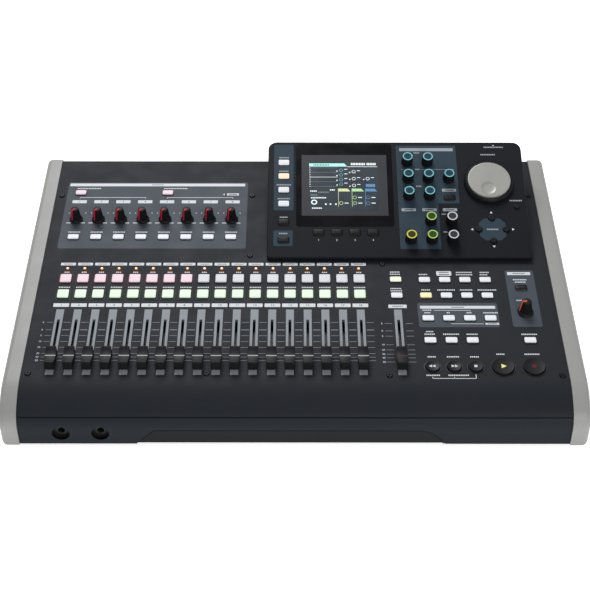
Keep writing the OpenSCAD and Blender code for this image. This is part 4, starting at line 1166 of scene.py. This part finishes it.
class RECORDER_OT_jog_wheel(Step, bpy.types.Operator):
    """Turn the jog wheel with its silver plate and finger dimple"""

    bl_idname = "recorder.jog_wheel"
    bl_label = "Jog wheel"

    def execute(self, context):
        x, v = JOG_SPOT
        wheel = node_extent("jog_wheel", POD)
        r, top = wheel.wide / 2, wheel.proud
        plate_r = r - JOG_RIM
        shape = Shape()
        shape.turned(x, v, [(r - 0.3, 0.6), (r, 0.9), (r, 2.4), (r - 0.25, 3.0), (r - 1.0, 4.2),
                            (r - 1.9, 5.2), (r - 2.4, 5.4), (plate_r - 0.1, 4.2)], "knob_black", JOG_STEPS)
        rings = hoops(x, v, [(plate_r, 4.0), (plate_r, top - 0.5), (plate_r - 0.2, top - 0.15),
                             (plate_r - 0.7, top), (plate_r - 1.0, top)], JOG_STEPS)
        dimple = [(DIMPLE_R * DIMPLE_RIM, top)]
        dimple += [(DIMPLE_R * share, top - DIMPLE_DEPTH * (1 - share ** 5)) for share in DIMPLE_SHARES]
        rings += hoops(x + DIMPLE_BACK[0], v + DIMPLE_BACK[1], dimple, JOG_STEPS)
        shape.loft(rings, "jog_silver")
        shape.make("jog_grip", POD, "jog", "jog_plate", ("jog_wheel",))
        return {"FINISHED"}


# The pod
SIDE_STRIP = (6.0, 55.4, 25.5, 136.3)
HOME_PLATE = (6.0, 13.5, 24.7, 31.6)
EQ_PLATE = (128.5, 63.9, 188.8, 135.1)
EQ_FOOT = (128.5, 10.2, 168.0, 63.9)
POD_PLATE_R = 1.4
EQ_BAR = (132.0, 128.2, 186.0, 131.9)
EQ_BAR_R = 0.5
CURSOR = (219.0, 33.1)
CURSOR_REACH = 12.8
CURSOR_CUT = 5.2
ARROW_REACH = 19.7
ARROW_SIZE = 1.6
EQ_LINES = ((133.0, 145.0), (153.0, 186.0))
EQ_LINE_V = 105.3
EQ_LINE_W = 0.4
STANDBY_MARK = (227.2, 135.4)
STANDBY_SIZE = 1.1
SCREEN_KEYS = 4
SCREEN_NUMBER_H = 2.3
SCREEN_KEY_NUMBER = (49.8, 20.4)
SCREEN_KEY_PITCH = 17.6
PILL = (14.0, 3.4, 0.6)
PILL_MARK = (8.4, 0.9)
PILLS = ((179.4, 79.8), (138.5, 56.2), (158.8, 56.2), (178.9, 56.2))
POD_CAPTIONS = (
    (16.0, 119.8, 10.2), (15.8, 102.9, 9.5), (15.8, 86.2, 14.6), (15.8, 69.4, 12.4), (15.8, 47.2, 8.0),
    (15.4, 28.0, 8.4), (149.2, 126.0, 6.2), (149.2, 105.3, 4.6), (149.6, 84.6, 5.6), (172.6, 51.0, 4.4),
    (173.0, 30.0, 4.0), (220.8, 123.8, 15.0), (227.2, 133.2, 20.0), (244.2, 67.3, 12.6), (219.0, 33.1, 11.4),
)


def octagon(x, v, reach, cut):
    """Outline of a square with its corners cut off."""
    a, b = reach, reach - cut
    return [(x + sx, v + sv) for sx, sv in
            ((a, -b), (a, b), (b, a), (-b, a), (-a, b), (-a, -b), (-b, -a), (b, -a))]


class RECORDER_OT_pod(Step, bpy.types.Operator):
    """Finish the display pod and print its plates and captions"""

    bl_idname = "recorder.pod"
    bl_label = "Pod"

    def execute(self, context):
        paint("pod_housing", "pod_plastic")
        paint("screen_window", "window_gloss")
        ink = Print()
        for plate in (SIDE_STRIP, HOME_PLATE, EQ_PLATE, EQ_FOOT):
            ink.area(span(*plate, POD_PLATE_R), "pod_ink")
        ink.area(span(*EQ_BAR, EQ_BAR_R), "pill_ink", 2)
        for x, v in PILLS:
            ink.tab(x, v, PILL, PILL_MARK, "pill_ink", level=2)
        for start, end in EQ_LINES:
            ink.line(start, EQ_LINE_V, end, EQ_LINE_V, EQ_LINE_W, "caption_ink")
        ink.area(octagon(*CURSOR, CURSOR_REACH, CURSOR_CUT), "pod_ink")
        for heading in (0, 90, 180, 270):
            turn = math.radians(heading)
            spot = (CURSOR[0] + ARROW_REACH * math.cos(turn), CURSOR[1] + ARROW_REACH * math.sin(turn))
            ink.area(wedge(*spot, ARROW_SIZE, heading), "white_ink", 2)
        ink.area(wedge(*STANDBY_MARK, STANDBY_SIZE, 90), "white_ink", 2)
        for x, v, wide in POD_CAPTIONS:
            ink.legend(x, v, wide, "caption_ink")
        x, v = SCREEN_KEY_NUMBER
        for i in range(SCREEN_KEYS):
            ink.digits(str(i + 1), x + SCREEN_KEY_PITCH * i, v, SCREEN_NUMBER_H, "legend_ink", 2)
        ink.make("pod_print", POD)
        return {"FINISHED"}


SIDE_KEYS_RIGHT = 40
SIDE_KEYS_LOW = 55
LIT_SIDE_KEY = (90, 105)


def pod_finish(top):
    """Colour of a key on the pod: those on the side strip are pale, and one of them is lit."""
    if top.x > SIDE_KEYS_RIGHT or top.v < SIDE_KEYS_LOW:
        return "black_key"
    return "peach_key" if LIT_SIDE_KEY[0] < top.v < LIT_SIDE_KEY[1] else "white_key"


class RECORDER_OT_pod_keys(Step, bpy.types.Operator):
    """Mould the keys of the pod"""

    bl_idname = "recorder.pod_keys"
    bl_label = "Pod keys"

    def execute(self, context):
        wells = Print()
        keys = Shape()
        gap = sizes().well_gap / MM
        for top in key_tops("pod_buttons", POD):
            if abs(top.wide - top.tall) > 1:
                key_cap(keys, wells, top, pod_finish(top))
                continue
            r, h = top.wide / 2, top.proud
            profile = [(r, KEY_FOOT), (r, h - 0.45), (r - 0.15, h - 0.12), (r - 0.5, h), (0.5 * r, h - 0.15)]
            keys.turned(top.x, top.v, profile, "black_key", 40)
            # A ring of painted shade round each round key, standing for its dark gap
            wells.area(disc(top.x, top.v, r + gap, 40), "key_well", 2)
        keys.make("pod_keys_moulded", POD, "pod_keys", "function_key", ("pod_buttons",))
        wells.make("pod_key_painted_shade", POD)
        return {"FINISHED"}


# The screen, with places from its upper left corner
SCREEN_CORNER = (41.1, 113.8)
SCREEN_FACE = Face(POD.axes.col[1], POD.axes.col[2], POD.place(*SCREEN_CORNER), (0, 0))
SCREEN = (0.0, -58.4, 68.4, 0.0)
BEZEL = (-7.6, -64.7, 77.4, 9.5)
GRAPH = (1.0, -29.5, 28.5, -6.6)
GRID_LINES = 5
GRID_MARKS = 12
DIALS = (
    (31.6, "screen_teal", (-9.7, -15.4, -21.1, -26.8)),
    (44.3, "screen_white", (-11.4, -20.0, -28.4)),
    (58.1, "screen_white", (-20.0,)),
)
DIAL_BOX = (56.0, -30.2, 65.3, -26.6)
TABS = (
    (28.4, "screen_yellow", (-49.7,)),
    (41.9, "screen_green", (-42.9, -49.7)),
    (55.0, "screen_blue", (-42.9, -49.7)),
)
# Rows of marks as their start, end, height and finish
READINGS = (
    (0.6, 7.4, -35.2, "screen_white"), (8.2, 19.4, -36.6, "screen_grey"), (20.2, 25.4, -33.8, "screen_white"),
    (1.0, 8.0, -39.9, "screen_grey"), (1.4, 16.6, -43.3, "screen_white"), (2.2, 12.4, -55.8, "screen_white"),
)
DOTS = ((16.2, -51.0), (20.7, -51.0), (26.1, -51.0))
GAUGE = (4.7, -48.6, 3.0, 1.2)


class RECORDER_OT_screen(Step, bpy.types.Operator):
    """Draw the screen with plain panes, dials and tabs"""

    bl_idname = "recorder.screen"
    bl_label = "Screen"

    def execute(self, context):
        view = Print()
        view.area(span(*BEZEL), "bezel_metal")
        view.area(span(*SCREEN), "screen_ground", 2)
        self.header(view, SCREEN[2])
        self.graph(view, *GRAPH)
        self.dials(view)
        self.tabs(view)
        self.readings(view)
        view.make("screen_view", SCREEN_FACE)
        return {"FINISHED"}

    def header(self, view, right):
        """A coloured title bar with a slanted end, and plain marks beside it."""
        view.area([(0, -4.9), (38, -4.9), (35, -1.2), (0, -1.2)], "screen_cyan", 3)
        view.legend(12, -3.1, 16.0, "screen_ground", 4)
        for x, wide in ((right - 19.6, 14.5), (right - 6.4, 9.6)):
            for v in (-2.6, -1.3):
                view.legend(x, v, wide, "screen_white", 3)
        view.line(38, -5.2, right - 0.5, -5.2, 0.5, "screen_white", 3)

    def graph(self, view, left, low, right, high):
        """A level response line over a faint grid."""
        for i in range(GRID_LINES):
            v = low + (high - low) * i / (GRID_LINES - 1)
            view.line(left, v, right, v, 0.3, "screen_grey", 3)
        for i in range(GRID_MARKS):
            v = low + (high - low) * i / (GRID_MARKS - 1)
            view.area(rect(left - 0.3, v, 1.1, 0.5), "screen_white", 3)
        view.line(left, (low + high) / 2, right, (low + high) / 2, 0.4, "screen_white", 4)

    def dials(self, view):
        """Columns of small dials with their readings."""
        for x, name, heights in DIALS:
            for v in heights:
                view.ring(x, v, 1.9, 0.5, name, 3)
                view.area(rect(x + 4.8, v + 1.3, 3.2, 0.7), "screen_white", 3)
                view.area(rect(x - 4.0, v - 0.9, 1.3, 1.1), "screen_white", 3)
        view.area(span(*DIAL_BOX, 0.5), "screen_blue", 3)

    def tabs(self, view):
        """Coloured tabs, each over a column of dials."""
        for x, name, heights in TABS:
            view.area([(x, -35.6), (x + 12.0, -35.6), (x + 9.6, -32.2), (x, -32.2)], name, 3)
            view.line(x + 0.3, -54.0, x + 0.3, -35.6, 0.4, name, 3)
            for v in heights:
                view.ring(x + 2.9, v, 2.0, 0.45, name, 3)
                view.area(rect(x + 8.2, v, 3.8, 0.9), "screen_white", 3)

    def readings(self, view):
        """Rows of plain marks, a gauge and three dots at the lower left."""
        for start, end, v, name in READINGS:
            view.legend((start + end) / 2, v, end - start, name, 3)
        view.ring(*GAUGE, "screen_white", 3, 32)
        for spot in DOTS:
            view.area(rect(*spot, 1.6, 1.6), "screen_white", 3)


# The sockets
NUT_R = 6.4
NUT_BORE = 3.6
NUT_LEVELS = (2.6, 3.0)


class RECORDER_OT_sockets(Step, bpy.types.Operator):
    """Finish the sockets and the standby button, and add plated nuts"""

    bl_idname = "recorder.sockets"
    bl_label = "Sockets"

    def execute(self, context):
        paint("sockets", "socket_plastic")
        paint("power_switch", "knob_black")
        nuts = Shape()
        for mount in frame["record"]["mounts"]:
            if not mount["name"].startswith("line_jack"):
                continue
            x, z = mount["pos_m"][0] / MM, mount["pos_m"][2] / MM
            # Drawn as seen from behind, so that the nut's faces look outwards
            outer, inner = ([(-px, pz) for px, pz in disc(-x, z, r, 48)] for r in (NUT_R, NUT_BORE))
            nuts.frame(outer, inner, *NUT_LEVELS, "socket_metal")
        nuts.make("jack_nuts", REAR)
        return {"FINISHED"}


# The stage
KEY_LAMP = (-0.3, 1.35, 1.65)
FRONT_LAMP = (0.6, -1.9, 1.0)
LAMP_SIZE = 1.2
SENSOR = 36.0
FLOOR_REACH = 6.0


class RECORDER_OT_stage(Step, bpy.types.Operator):
    """Set the floor, the lamps, the sky and the camera"""

    bl_idname = "recorder.stage"
    bl_label = "Stage"

    def execute(self, context):
        stage = context.scene.recorder_stage
        self.floor()
        self.sky(context.scene, stage.sky)
        self.lamp("key_lamp", KEY_LAMP, stage.key_watts)
        self.lamp("front_lamp", FRONT_LAMP, stage.front_watts)
        camera = bpy.data.cameras.new("camera")
        camera.lens = stage.lens
        camera.sensor_width = SENSOR
        holder = bpy.data.objects.new("camera", camera)
        holder.location = (0.0, stage.camera_y, stage.camera_z)
        tilt = Matrix.Rotation(math.pi / 2 - stage.look_down, 3, "X")
        holder.rotation_euler = (tilt @ Matrix.Rotation(stage.roll, 3, "Z")).to_euler()
        context.scene.collection.objects.link(holder)
        context.scene.camera = holder
        context.scene.view_settings.view_transform = "Standard"
        return {"FINISHED"}

    def floor(self):
        """A pale floor that reaches past the picture."""
        mesh = bpy.data.meshes.new("floor")
        corners = at_height(rect(0, 0, 2 * FLOOR_REACH, 2 * FLOOR_REACH), 0)
        mesh.from_pydata(corners, [], [(0, 1, 2, 3)])
        mesh.materials.append(finish("floor_white"))
        floor = bpy.data.objects.new("floor", mesh)
        bpy.context.scene.collection.objects.link(floor)

    def sky(self, scene, strength):
        """Even white light from all round."""
        world = bpy.data.worlds.new("sky")
        world.use_nodes = True
        background = world.node_tree.nodes["Background"]
        background.inputs["Color"].default_value = (1.0, 1.0, 1.0, 1.0)
        background.inputs["Strength"].default_value = strength
        scene.world = world

    def lamp(self, name, place, watts):
        """A large soft lamp that looks at the recorder."""
        light = bpy.data.lights.new(name, "AREA")
        light.shape = "DISK"
        light.size = LAMP_SIZE
        light.energy = watts
        holder = bpy.data.objects.new(name, light)
        holder.location = place
        holder.rotation_euler = (-Vector(place)).to_track_quat("-Z", "Y").to_euler()
        bpy.context.scene.collection.objects.link(holder)


STEPS = ("case", "panel_print", "channel_keys", "function_keys", "transport_keys", "faders", "knobs", "pod",
         "encoders", "jog_wheel", "pod_keys", "screen", "sockets", "stage")


class RECORDER_PT_sidebar(bpy.types.Panel):
    """Lists the recorder's steps in the sidebar"""

    bl_label = "Recorder"
    bl_space_type = "VIEW_3D"
    bl_region_type = "UI"
    bl_category = "Recorder"

    def draw(self, context):
        for step in STEPS:
            self.layout.operator("recorder." + step)


CLASSES = (RecorderColours, RecorderSizes, RecorderStage, *Step.__subclasses__(), RECORDER_PT_sidebar)
SETTINGS = {
    "recorder_colours": RecorderColours,
    "recorder_sizes": RecorderSizes,
    "recorder_stage": RecorderStage,
}


def register():
    for cls in CLASSES:
        bpy.utils.register_class(cls)
    for name, group in SETTINGS.items():
        setattr(bpy.types.Scene, name, bpy.props.PointerProperty(type=group))


def unregister():
    for name in SETTINGS:
        delattr(bpy.types.Scene, name)
    for cls in reversed(CLASSES):
        bpy.utils.unregister_class(cls)


def main():
    register()
    for step in STEPS:
        getattr(bpy.ops.recorder, step)()


if __name__ == "__main__":
    main()
